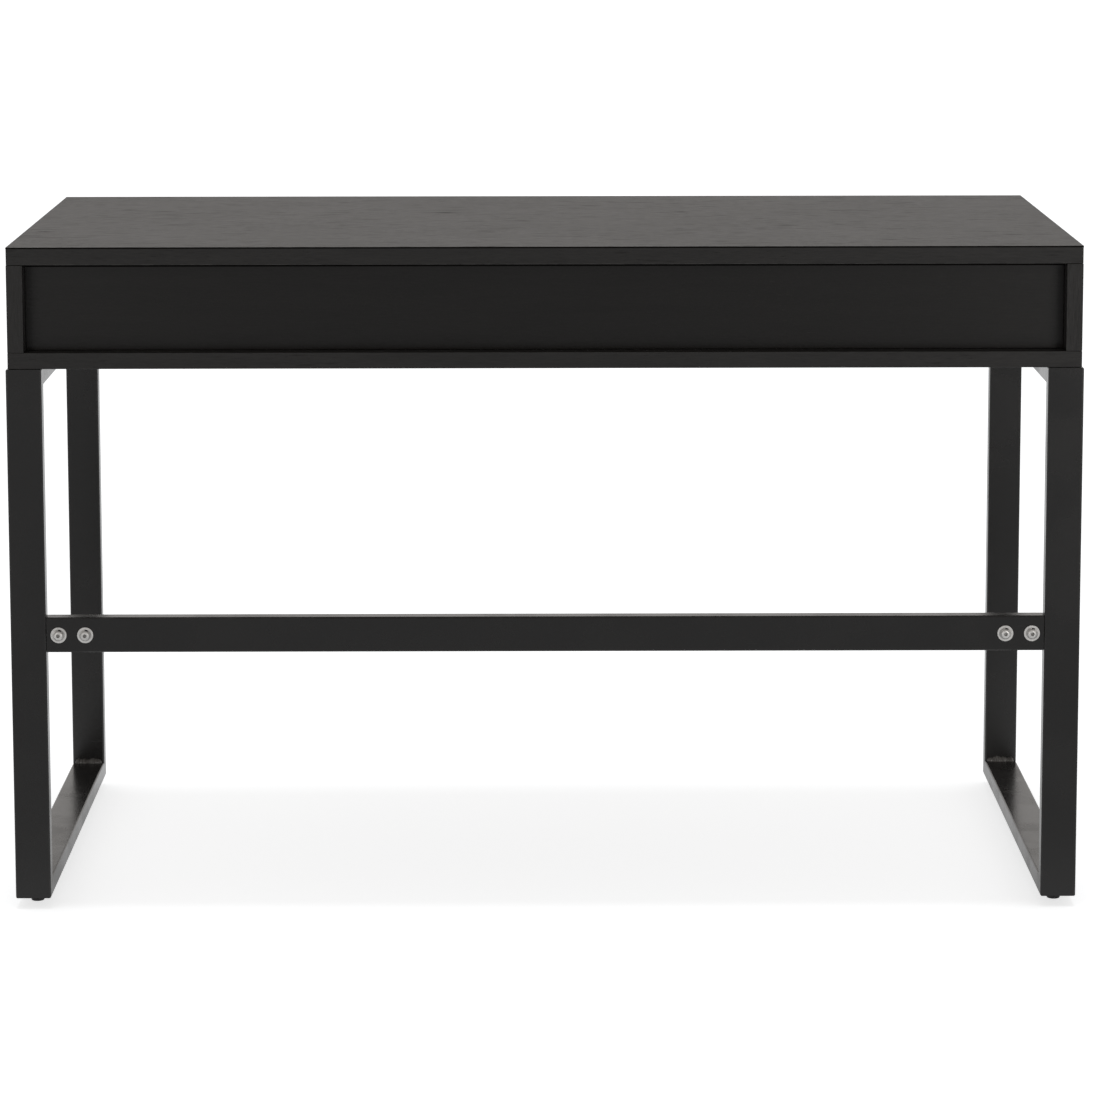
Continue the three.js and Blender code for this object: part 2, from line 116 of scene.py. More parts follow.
class Graph:
    """Adds nodes to one shader tree and links them."""

    def __init__(self, tree: bpy.types.NodeTree) -> None:
        """Starts on a tree."""
        self.tree = tree

    def add(self, kind: str, inputs: dict | None = None, **settings: object) -> bpy.types.Node:
        """Adds a node.

        Args:
            kind: the node's type.
            inputs: values or sockets for its inputs, by name or index.
            settings: attributes of the node.

        Returns:
            The node.
        """
        node = self.tree.nodes.new(kind)
        for key, value in settings.items():
            setattr(node, key, value)
        for key, value in (inputs or {}).items():
            self.feed(node, key, value)
        return node

    def feed(self, node: bpy.types.Node, key: str | int, value: object) -> None:
        """Links a socket to an input, or sets the input to a value."""
        if isinstance(value, bpy.types.NodeSocket):
            self.tree.links.new(value, node.inputs[key])
        else:
            node.inputs[key].default_value = value

    def math(self, operation: str, *values: object) -> bpy.types.NodeSocket:
        """A Math node's result."""
        return self.add("ShaderNodeMath", dict(enumerate(values)), operation=operation).outputs[0]

    def remap(self, value: object, low: float, high: float, to_low: float = 0, to_high: float = 1) -> object:
        """A value taken smoothly from one range to another, and held inside it."""
        inputs = {0: value, 1: low, 2: high, 3: to_low, 4: to_high}
        return self.add("ShaderNodeMapRange", inputs, interpolation_type="SMOOTHSTEP").outputs[0]

    def blend(self, share: object, first: object, second: object) -> bpy.types.NodeSocket:
        """A colour between two, by a share from 0 to 1."""
        inputs = {0: share, 6: opaque(first), 7: opaque(second)}
        return self.add("ShaderNodeMix", inputs, data_type="RGBA").outputs[2]

    def noise(self, vector: object, scale: float, detail: float = 2, roughness: float = 0.5) -> object:
        """A Noise node's value."""
        inputs = {"Vector": vector, "Scale": scale, "Detail": detail, "Roughness": roughness}
        return self.add("ShaderNodeTexNoise", inputs).outputs[0]

    def group(self, tree: bpy.types.NodeTree, **inputs: object) -> bpy.types.Node:
        """Adds a node group's node.

        Args:
            tree: the group.
            inputs: values or sockets for its inputs.

        Returns:
            The node.
        """
        node = self.add("ShaderNodeGroup", node_tree=tree)
        for key, value in inputs.items():
            self.feed(node, key, value)
        return node


def opaque(colour: object) -> object:
    """A colour with full alpha, or a socket as it is."""
    return (*colour, 1.0) if isinstance(colour, tuple) and len(colour) == 3 else colour


class Effect:
    """A shared effect: a shader node group with named inputs and outputs."""

    def __init__(self, name: str, inputs: dict[str, float | None], outputs: Sequence[str]) -> None:
        """Makes the group's sockets.

        Args:
            name: the group's name.
            inputs: each input's name and value; None for a vector.
            outputs: the names of the value outputs.
        """
        self.tree = bpy.data.node_groups.new(name, "ShaderNodeTree")
        for label, value in inputs.items():
            kind = "NodeSocketVector" if value is None else "NodeSocketFloat"
            socket = self.tree.interface.new_socket(name=label, in_out="INPUT", socket_type=kind)
            if value is not None:
                socket.default_value = value
        for label in outputs:
            self.tree.interface.new_socket(name=label, in_out="OUTPUT", socket_type="NodeSocketFloat")
        self.graph = Graph(self.tree)
        self.given = self.graph.add("NodeGroupInput").outputs
        self.results = self.graph.add("NodeGroupOutput").inputs

    def put(self, label: str, value: bpy.types.NodeSocket) -> None:
        """Sends a value to a named output."""
        self.tree.links.new(value, self.results[label])


def make_streaks() -> bpy.types.NodeTree:
    """Long fine streaks along X: wood pores and figure, or the lines of rolled and drawn metal.

    Returns:
        The group. Fine is the close lines, Broad the slow bands, Pores the hair-thin strokes and Dashes the
        scattered wider ones.
    """
    effect = Effect(
        "streaks", {"Vector": None, "Length": 0.05, "Width": 0.0015, "Wander": 0.004},
        ("Fine", "Broad", "Pores", "Dashes"),
    )
    g, given = effect.graph, effect.given
    # The lines bow round a few scattered places, as grain does round a small knot.
    cell = g.add("ShaderNodeVectorMath", {0: given["Vector"], 1: (5.2, 11.0, 11.0)}, operation="MULTIPLY")
    knots = g.add("ShaderNodeTexVoronoi", {"Vector": cell.outputs[0], "Scale": 1.0}, feature="SMOOTH_F1")
    bow = g.remap(knots.outputs["Distance"], 0.0, 0.55, 1.0, 0.0)
    drift = g.math("SUBTRACT", g.noise(given["Vector"], 4.5, 1), 0.5)
    across = g.math("MULTIPLY", g.math("ADD", drift, g.math("MULTIPLY", bow, 0.6)), given["Wander"])
    moved = g.add("ShaderNodeCombineXYZ", {1: across, 2: across}).outputs[0]
    wandered = g.add("ShaderNodeVectorMath", {0: given["Vector"], 1: moved}, operation="ADD").outputs[0]
    for label, times, detail in (("Fine", 1.0, 3.0), ("Broad", 9.0, 2.0)):
        size = g.add(
            "ShaderNodeCombineXYZ",
            {
                0: g.math("MULTIPLY", given["Length"], 0.35 * times),
                1: g.math("MULTIPLY", given["Width"], times),
                2: g.math("MULTIPLY", given["Width"], times),
            },
        )
        scaled = g.add("ShaderNodeVectorMath", {0: wandered, 1: size.outputs[0]}, operation="DIVIDE")
        effect.put(label, g.remap(g.noise(scaled.outputs[0], 1.0, detail, 0.55), 0.28, 0.72))
    patches = g.remap(g.noise(wandered, 9.0, 1), 0.4, 0.65, 0.55, 1.0)
    for label, long, wide in (("Pores", 0.3, 0.45), ("Dashes", 1.0, 4.2)):
        thick = g.math("MULTIPLY", given["Width"], wide)
        stroke = g.math("MULTIPLY", given["Length"], long)
        size = g.add("ShaderNodeCombineXYZ", {0: stroke, 1: thick, 2: thick})
        scaled = g.add("ShaderNodeVectorMath", {0: wandered, 1: size.outputs[0]}, operation="DIVIDE")
        strokes = g.remap(g.noise(scaled.outputs[0], 1.0, 1.0), 0.62, 0.76)
        effect.put(label, g.math("MULTIPLY", strokes, patches))
    return effect.tree


def make_handling() -> bpy.types.NodeTree:
    """Marks of use: cloudy smudges, fine dust and small scuffs.

    Returns:
        The group. Smudge is broad and soft, Dust is fine specks, Scuff is short thin scratches.
    """
    effect = Effect("handling", {"Vector": None, "Size": 0.12}, ("Smudge", "Dust", "Scuff"))
    g, given = effect.graph, effect.given
    closer = g.math("DIVIDE", 1.0, given["Size"])
    near = g.add("ShaderNodeVectorMath", {0: given["Vector"], 3: closer}, operation="SCALE")
    effect.put("Smudge", g.remap(g.noise(near.outputs[0], 1.0, 4, 0.6), 0.35, 0.7))
    effect.put("Dust", g.remap(g.noise(given["Vector"], 1400.0, 1), 0.62, 0.8))
    slanted = g.add(
        "ShaderNodeMapping",
        {"Vector": given["Vector"], "Rotation": (0.3, 0.5, 0.9), "Scale": (30.0, 600.0, 600.0)},
    )
    lines = g.remap(g.noise(slanted.outputs[0], 1.0, 1), 0.7, 0.78)
    effect.put("Scuff", g.math("MULTIPLY", lines, g.remap(g.noise(given["Vector"], 7.0, 1), 0.5, 0.7)))
    return effect.tree


def make_peel() -> bpy.types.NodeTree:
    """The fine pebbled height of sprayed powder or moulded plastic.

    Returns:
        The group. Pebble is a rounded height, Grit a finer one.
    """
    effect = Effect("peel", {"Vector": None, "Size": 0.001}, ("Pebble", "Grit"))
    g, given = effect.graph, effect.given
    closer = g.math("DIVIDE", 1.0, given["Size"])
    near = g.add("ShaderNodeVectorMath", {0: given["Vector"], 3: closer}, operation="SCALE")
    cells = g.add("ShaderNodeTexVoronoi", {"Vector": near.outputs[0], "Scale": 1.0}, feature="SMOOTH_F1")
    effect.put("Pebble", g.math("SUBTRACT", 1.0, cells.outputs["Distance"]))
    effect.put("Grit", g.noise(near.outputs[0], 3.0, 2))
    return effect.tree


@dataclass(frozen=True)
class Effects:
    """The shared effects that the finishes use."""

    streaks: bpy.types.NodeTree
    handling: bpy.types.NodeTree
    peel: bpy.types.NodeTree

    @classmethod
    def make(cls) -> "Effects":
        """Builds each group once."""
        return cls(make_streaks(), make_handling(), make_peel())


# ---------------------------------------------------------------------------------------------- finishes


GRAIN_TURN = {  # turns a pattern that runs along X so that it runs along the named axis
    Axis.X: (0.0, 0.0, 0.0),
    Axis.Y: (0.0, 0.0, math.radians(90)),
    Axis.Z: (0.0, math.radians(90), 0.0),
}


def new_material(name: str, turned: Axis = Axis.X, offset: float = 0.0) -> tuple:
    """Starts a material.

    Args:
        name: the material's name.
        turned: the axis that a lengthwise pattern follows.
        offset: moves the pattern, so that two finishes don't repeat each other.

    Returns:
        The material, its graph, its Principled BSDF and the pattern's coordinates.
    """
    material = bpy.data.materials.new(name)
    material.use_nodes = True
    graph = Graph(material.node_tree)
    shader = material.node_tree.nodes["Principled BSDF"]
    place = graph.add("ShaderNodeTexCoord").outputs["Object"]
    where = graph.add(
        "ShaderNodeMapping", {"Vector": place, "Rotation": GRAIN_TURN[turned], "Location": (offset,) * 3}
    )
    return material, graph, shader, where.outputs[0]


def dress(
    graph: Graph, shader: bpy.types.Node, colour: object, rough: object, height: object, depth: float
) -> None:
    """Joins a finish's colour, roughness and relief to its shader.

    Args:
        graph: the material's graph.
        shader: its Principled BSDF.
        colour: the Base Color socket's source.
        rough: the Roughness socket's source.
        height: the relief, from 0 to 1.
        depth: the relief's depth in metres.
    """
    bump = graph.add("ShaderNodeBump", {"Height": height, "Distance": depth, "Strength": 1.0})
    for source, socket in ((colour, "Base Color"), (rough, "Roughness"), (bump.outputs[0], "Normal")):
        graph.tree.links.new(source, shader.inputs[socket])


@dataclass(frozen=True)
class WoodFoil:
    """A printed wood finish on board: fine streaks along the grain, printed pores and a low sheen."""

    name: str
    grain: Axis
    dark: Colour = (0.0092, 0.0086, 0.0081)
    light: Colour = (0.0192, 0.0178, 0.0169)
    pore: Colour = (0.0062, 0.0052, 0.0047)
    # The colour of rubbed rounds; on the top board's lower round it also makes a painted highlight.
    edge: Colour = (0.042, 0.04, 0.038)
    dust: Colour = (0.09, 0.088, 0.085)
    smooth: float = 0.41
    rough: float = 0.47
    gloss: float = 0.42  # how strongly the face reflects
    mark_rough: float = 0.2  # how much duller the pores and dashes are
    length: float = 45 * MM
    width: float = 1.3 * MM
    depth: float = 0.04 * MM
    offset: float = 0.0

    def build(self, effects: Effects) -> bpy.types.Material:
        """Makes the material.

        Args:
            effects: the shared effects.

        Returns:
            The material.
        """
        material, g, shader, where = new_material(self.name, self.grain, self.offset)
        shader.inputs["Specular IOR Level"].default_value = self.gloss
        streaks = g.group(effects.streaks, Vector=where, Length=self.length, Width=self.width, Wander=7 * MM)
        handling = g.group(effects.handling, Vector=where, Size=0.14)
        tone = g.math("ADD", g.math("MULTIPLY", streaks.outputs["Fine"], 0.62),
                      g.math("MULTIPLY", streaks.outputs["Broad"], 0.38))
        wood = g.blend(tone, self.dark, self.light)
        marks = g.math("MAXIMUM", g.math("MULTIPLY", streaks.outputs["Dashes"], 0.6),
                       g.math("MULTIPLY", streaks.outputs["Pores"], 0.85))
        pored = g.blend(marks, wood, self.pore)
        dusty = g.blend(g.math("MULTIPLY", handling.outputs["Dust"], 0.12), pored, self.dust)
        # Rounds take the lighter edge colour in rubbed patches, and all along where the attribute passes 1,
        # as a painted highlight.
        worn = g.add("ShaderNodeAttribute", attribute_name=WORN).outputs["Fac"]
        rub = g.math("MULTIPLY", worn, g.remap(g.noise(where, 60.0, 3, 0.6), 0.42, 0.7, 0.15, 0.8))
        colour = g.blend(rub, dusty, self.edge)
        sheen = g.math("MULTIPLY_ADD", handling.outputs["Smudge"], 0.014,
                       g.remap(streaks.outputs["Fine"], 0.0, 1.0, self.rough, self.smooth))
        rough = g.math("SUBTRACT", g.math("MULTIPLY_ADD", marks, self.mark_rough, sheen),
                       g.math("MULTIPLY", handling.outputs["Scuff"], 0.03))
        height = g.math("SUBTRACT", tone, g.math("MULTIPLY", streaks.outputs["Pores"], 0.8))
        dress(g, shader, colour, rough, height, self.depth)
        return material


@dataclass(frozen=True)
class CutEdge:
    """The bare dark edge of a laminate sheet, with its layers as fine lines along the board; the same dark
    finish is also painted shade along the back panel's top.
    """

    name: str
    dark: Colour = (0.0022, 0.0019, 0.0017)
    light: Colour = (0.0058, 0.005, 0.0046)
    gloss: float = 0.08

    def build(self, effects: Effects) -> bpy.types.Material:
        """Makes the material.

        Args:
            effects: the shared effects.

        Returns:
            The material.
        """
        material, g, shader, where = new_material(self.name)
        shader.inputs["Specular IOR Level"].default_value = self.gloss
        streaks = g.group(effects.streaks, Vector=where, Length=30 * MM, Width=0.25 * MM, Wander=0.0)
        colour = g.blend(streaks.outputs["Fine"], self.dark, self.light)
        rough = g.remap(streaks.outputs["Broad"], 0.0, 1.0, 0.62, 0.8)
        dress(g, shader, colour, rough, streaks.outputs["Fine"], 0.03 * MM)
        return material


@dataclass(frozen=True)
class PowderCoat:
    """Black powder coat: a fine pebbled skin, a little dust, and rubbed edges."""

    name: str
    dark: Colour = (0.0082, 0.0077, 0.0073)
    light: Colour = (0.012, 0.0112, 0.0107)
    edge: Colour = (0.03, 0.03, 0.03)
    dust: Colour = (0.1, 0.098, 0.095)
    smooth: float = 0.22
    rough: float = 0.3
    pebble: float = 0.9 * MM
    depth: float = 0.022 * MM

    def build(self, effects: Effects) -> bpy.types.Material:
        """Makes the material.

        Args:
            effects: the shared effects.

        Returns:
            The material.
        """
        material, g, shader, where = new_material(self.name)
        peel = g.group(effects.peel, Vector=where, Size=self.pebble)
        handling = g.group(effects.handling, Vector=where, Size=0.09)
        smudge = g.math("MULTIPLY", handling.outputs["Smudge"], 0.5)
        cloud = g.math("MULTIPLY_ADD", peel.outputs["Grit"], 0.5, smudge)
        base = g.blend(cloud, self.dark, self.light)
        dusty = g.blend(g.math("MULTIPLY", handling.outputs["Dust"], 0.15), base, self.dust)
        worn = g.add("ShaderNodeAttribute", attribute_name=WORN).outputs["Fac"]
        rub = g.math("MULTIPLY", worn, g.remap(g.noise(where, 45.0, 3, 0.6), 0.45, 0.75, 0.1, 0.7))
        colour = g.blend(rub, dusty, self.edge)
        sheen = g.remap(handling.outputs["Smudge"], 0.0, 1.0, self.smooth, self.rough)
        rough = g.math("MULTIPLY_ADD", handling.outputs["Scuff"], 0.14, sheen)
        height = g.math("MULTIPLY_ADD", peel.outputs["Grit"], 0.35, peel.outputs["Pebble"])
        dress(g, shader, colour, rough, height, self.depth)
        return material


@dataclass(frozen=True)
class Plated:
    """A zinc-plated steel: fine drawn or rolled lines, a cloudy spangle and dulled patches."""

    name: str
    along: Axis
    bright: Colour = (0.72, 0.715, 0.70)
    dull: Colour = (0.5, 0.5, 0.495)
    smooth: float = 0.2
    rough: float = 0.36
    length: float = 6 * MM
    width: float = 0.12 * MM
    depth: float = 0.006 * MM
    spangle: float = 3.5 * MM
    metal: float = 1.0

    def build(self, effects: Effects) -> bpy.types.Material:
        """Makes the material.

        Args:
            effects: the shared effects.

        Returns:
            The material.
        """
        material, g, shader, where = new_material(self.name, self.along)
        shader.inputs["Metallic"].default_value = self.metal
        streaks = g.group(effects.streaks, Vector=where, Length=self.length, Width=self.width, Wander=0.0)
        handling = g.group(effects.handling, Vector=where, Size=0.02)
        grains = g.add("ShaderNodeTexVoronoi", {"Vector": where, "Scale": 1.0 / self.spangle})
        patch = g.add("ShaderNodeSeparateColor", {0: grains.outputs["Color"]}).outputs[0]
        cloud = g.math("MULTIPLY_ADD", handling.outputs["Smudge"], 0.5, g.math("MULTIPLY", patch, 0.35))
        tone = g.math("MULTIPLY_ADD", streaks.outputs["Fine"], 0.25, cloud)
        colour = g.blend(tone, self.bright, self.dull)
        rough = g.remap(tone, 0.0, 1.0, self.smooth, self.rough)
        dress(g, shader, colour, rough, streaks.outputs["Fine"], self.depth)
        return material


@dataclass(frozen=True)
class Moulded:
    """A moulded nylon: satin, faintly pebbled, with handling marks."""

    name: str
    dark: Colour = (0.0095, 0.0095, 0.01)
    light: Colour = (0.02, 0.02, 0.021)
    grain: float = 0.35 * MM

    def build(self, effects: Effects) -> bpy.types.Material:
        """Makes the material.

        Args:
            effects: the shared effects.

        Returns:
            The material.
        """
        material, g, shader, where = new_material(self.name)
        peel = g.group(effects.peel, Vector=where, Size=self.grain)
        handling = g.group(effects.handling, Vector=where, Size=0.015)
        grit = g.math("MULTIPLY", peel.outputs["Grit"], 0.4)
        colour = g.blend(g.math("MULTIPLY_ADD", handling.outputs["Smudge"], 0.6, grit), self.dark, self.light)
        rough = g.remap(handling.outputs["Smudge"], 0.0, 1.0, 0.42, 0.58)
        dress(g, shader, colour, rough, peel.outputs["Pebble"], 0.02 * MM)
        return material


@dataclass(frozen=True)
class Finishes:
    """Every material of the desk."""

    laminate: dict[Axis, bpy.types.Material]
    panel: bpy.types.Material
    sheet_edge: bpy.types.Material
    drawer: dict[Axis, bpy.types.Material]
    powder: bpy.types.Material
    weld: bpy.types.Material
    zinc: bpy.types.Material
    spring: bpy.types.Material
    socket: bpy.types.Material
    grime: bpy.types.Material
    slide: bpy.types.Material
    ball: bpy.types.Material
    nylon: bpy.types.Material

    @classmethod
    def make(cls) -> "Finishes":
        """Builds each finish once.

        Returns:
            The finishes.
        """
        effects = Effects.make()
        case = {
            axis: WoodFoil(
                f"case_laminate_{axis.name.lower()}", axis, depth=0.075 * MM, mark_rough=0.38,
                offset=0.37 * axis.value,
            )
            for axis in Axis
        }
        inside = {
            axis: WoodFoil(
                f"drawer_board_{axis.name.lower()}", axis,
                dark=(0.04, 0.036, 0.0325), light=(0.07, 0.0635, 0.0575), pore=(0.024, 0.0205, 0.0175),
                edge=(0.1, 0.093, 0.086), smooth=0.5, rough=0.62, length=60 * MM,
                offset=1.3 + 0.41 * axis.value,
            )
            for axis in (Axis.X, Axis.Y)
        }
        return cls(
            laminate={axis: finish.build(effects) for axis, finish in case.items()},
            # The panel's foil is darker than the case's as painted shade for its recess.
            panel=WoodFoil("back_panel_laminate", Axis.X, dark=(0.0042, 0.0034, 0.0029),
                           light=(0.0084, 0.0071, 0.0063), pore=(0.004, 0.0032, 0.0028),
                           smooth=0.28, rough=0.34, gloss=0.4, offset=2.6).build(effects),
            sheet_edge=CutEdge("laminate_cut_edge").build(effects),
            drawer={axis: finish.build(effects) for axis, finish in inside.items()},
            powder=PowderCoat("black_powder_coat").build(effects),
            # The weld's coat is lighter than the frame's black powder: a painted highlight standing in for
            # the bead's glints.
            weld=PowderCoat("coated_weld", dark=(0.055, 0.052, 0.049), light=(0.15, 0.143, 0.136),
                            edge=(0.16, 0.155, 0.15), smooth=0.08, rough=0.2, pebble=0.6 * MM).build(effects),
            zinc=Plated("bright_zinc", Axis.Z, bright=(0.93, 0.92, 0.9), dull=(0.66, 0.655, 0.64),
                        length=2.5 * MM, width=0.2 * MM, smooth=0.34, rough=0.5, metal=0.7).build(effects),
            spring=Plated("dulled_zinc", Axis.Z, bright=(0.6, 0.59, 0.57), dull=(0.34, 0.335, 0.33),
                          length=2.5 * MM, width=0.2 * MM, smooth=0.32, rough=0.52).build(effects),
            # The socket's darker steel is partly duller plating and partly painted shade of the recess.
            socket=Plated("socket_steel", Axis.Z, bright=(0.5, 0.49, 0.47), dull=(0.2, 0.195, 0.19),
                          smooth=0.4, rough=0.6, spangle=0.8 * MM).build(effects),
            # Near-black zinc on the flat washer's seat: painted shade, seen through the lock washer's split.
            grime=Plated("blackened_zinc", Axis.Z, bright=(0.06, 0.057, 0.054), dull=(0.016, 0.015, 0.015),
                         smooth=0.5, rough=0.7, spangle=0.8 * MM).build(effects),
            slide=Plated("rolled_zinc", Axis.Y, length=40 * MM, width=0.18 * MM, smooth=0.24, rough=0.42,
                         bright=(0.6, 0.605, 0.61), dull=(0.4, 0.405, 0.41)).build(effects),
            ball=Plated("polished_ball", Axis.X, bright=(0.78, 0.78, 0.78), dull=(0.66, 0.66, 0.66),
                        smooth=0.06, rough=0.14, spangle=1.2 * MM).build(effects),
            nylon=Moulded("black_nylon").build(effects),
        )


# ---------------------------------------------------------------------------------------------- mesh helpers


def new_shape() -> bmesh.types.BMesh:
    """Starts a shape.

    Returns:
        An empty shape with the worn-edge attribute.
    """
    bm = bmesh.new()
    bm.loops.layers.float.new(WORN)
    return bm


def whole(bm: bmesh.types.BMesh) -> list:
    """Everything that a shape holds."""
    return bm.verts[:] + bm.edges[:] + bm.faces[:]


def block(bm: bmesh.types.BMesh, low: Sequence[float], high: Sequence[float], material: int = 0) -> list:
    """Adds a box between two corners.

    Args:
        bm: the shape.
        low: the lowest corner.
        high: the highest corner.
        material: the faces' material slot.

    Returns:
        The box's vertices.
    """
    low, high = Vector(low), Vector(high)
    verts = bmesh.ops.create_cube(bm, size=1.0)["verts"]
    bmesh.ops.scale(bm, vec=high - low, verts=verts)
    bmesh.ops.translate(bm, vec=(low + high) / 2, verts=verts)
    for face in {face for vert in verts for face in vert.link_faces}:
        face.material_index = material
    return verts


def edges_of(verts: Sequence[bmesh.types.BMVert]) -> list[bmesh.types.BMEdge]:
    """Finds the edges that lie among some vertices.

    Args:
        verts: the vertices.

    Returns:
        Every edge with both its ends among them.
    """
    inside = set(verts)
    found = {edge for vert in verts for edge in vert.link_edges}
    return [edge for edge in found if inside.issuperset(edge.verts)]


def soften(
    bm: bmesh.types.BMesh, edges: Sequence[bmesh.types.BMEdge], radius: float, segments: int = 3,
    wear_and_highlight: float = 1.0,
) -> None:
    """Rounds edges. The faces beside them stay flat, and the rounds are marked as worn.

    Args:
        bm: the shape.
        edges: the edges to round.
        radius: the round's radius.
        segments: steps across the round.
        wear_and_highlight: how worn the rounds are, from 0; past 1 the rubbed patches close up into a lighter
            band that is a painted highlight.
    """
    order = sorted(edges, key=lambda edge: tuple(round(c, 6) for vert in edge.verts for c in vert.co))
    made = bmesh.ops.bevel(
        bm, geom=order, offset=radius, offset_type="OFFSET", segments=segments, profile=0.5, affect="EDGES",
        material=-1, clamp_overlap=True,
    )
    worn = bm.loops.layers.float[WORN]
    rounds = set(made["faces"])
    for face in rounds:
        for loop in face.loops:
            loop[worn] = wear_and_highlight
        for edge in face.edges:
            if any(other not in rounds for other in edge.link_faces):
                edge.smooth = False


def on_level(edge: bmesh.types.BMEdge, axis: int, level: float) -> bool:
    """Whether both ends of an edge are at one level along an axis."""
    return all(abs(vert.co[axis] - level) < TINY for vert in edge.verts)


def crisp_edges(bm: bmesh.types.BMesh) -> list[bmesh.types.BMEdge]:
    """The edges where two faces meet sharply."""
    return [e for e in bm.edges if len(e.link_faces) == 2 and e.calc_face_angle(0.0) > SHARP_ANGLE]


def heal(bm: bmesh.types.BMesh) -> None:
    """Merges doubled points and turns the faces outwards."""
    bmesh.ops.remove_doubles(bm, verts=bm.verts[:], dist=TINY)
    bmesh.ops.recalc_face_normals(bm, faces=bm.faces[:])


def turned(
    bm: bmesh.types.BMesh, profile: Sequence[tuple[float, float]], steps: int, material: int = 0
) -> None:
    """Adds a turned shape about Z.

    Args:
        bm: the shape.
        profile: radius and height of each point, from the lowest; points on the axis close it.
        steps: sides round the axis.
        material: the faces' material slot.
    """
    verts = [bm.verts.new((radius, 0.0, height)) for radius, height in profile]
    edges = [bm.edges.new(pair) for pair in zip(verts, verts[1:])]
    before = set(bm.faces)
    bmesh.ops.spin(
        bm, geom=verts + edges, cent=(0, 0, 0), axis=(0, 0, 1), angle=math.tau, steps=steps, use_merge=True
    )
    for face in bm.faces:
        if face not in before:
            face.material_index = material


def pushed_out(
    bm: bmesh.types.BMesh, outline: Sequence[tuple[float, float]], start: float, end: float
) -> None:
    """Adds a solid with the same outline all along Y.

    Args:
        bm: the shape.
        outline: the outline's points in X and Z.
        start: where it begins along Y.
        end: where it ends.
    """
    face = bm.faces.new([bm.verts.new((x, start, z)) for x, z in outline])
    grown = bmesh.ops.extrude_face_region(bm, geom=[face])["geom"]
    far = [item for item in grown if isinstance(item, bmesh.types.BMVert)]
    bmesh.ops.translate(bm, vec=(0, end - start, 0), verts=far)
    heal(bm)


def aim(bm: bmesh.types.BMesh, direction: Vector, place: Vector) -> None:
    """Turns a shape made about +Z to point another way, and moves its origin to a place.

    Args:
        bm: the shape.
        direction: the way that its +Z points afterwards.
        place: where its origin goes.
    """
    turn = Vector((0, 0, 1)).rotation_difference(direction).to_matrix()
    bmesh.ops.rotate(bm, cent=(0, 0, 0), matrix=turn, verts=bm.verts[:])
    bmesh.ops.translate(bm, vec=place, verts=bm.verts[:])


@dataclass(frozen=True)
class Piece:
    """How a finished shape joins the desk."""

    name: str
    body: str
    slot: str
    materials: tuple[bpy.types.Material, ...]
    stands_for: tuple[str, ...] = ()

    def place(self, bm: bmesh.types.BMesh) -> bpy.types.Object:
        """Makes the object, hangs it on its body and hides the CAD nodes that it stands for.

        Args:
            bm: the finished shape, which is freed.

        Returns:
            The object, at the origin, with its place in its mesh.
        """
        for edge in crisp_edges(bm):
            edge.smooth = False
        for face in bm.faces:
            face.smooth = True
        mesh = bpy.data.meshes.new(self.name)
        bm.to_mesh(mesh)
        bm.free()
        piece = bpy.data.objects.new(self.name, mesh)
        for material in self.materials:
            mesh.materials.append(material)
        bpy.context.scene.collection.objects.link(piece)
        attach(piece, self.body)
        if self.stands_for:
            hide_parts(*self.stands_for)
        LOG.info("%s: %d faces on %s", self.name, len(mesh.polygons), self.body)
        return piece


def stand_in(node: str, body: str, slot: str, *materials: bpy.types.Material) -> Piece:
    """A detailed piece that takes a CAD node's place, named after it."""
    return Piece(f"{node}.finished", body, slot, materials, (node,))


# ---------------------------------------------------------------------------------------------- case


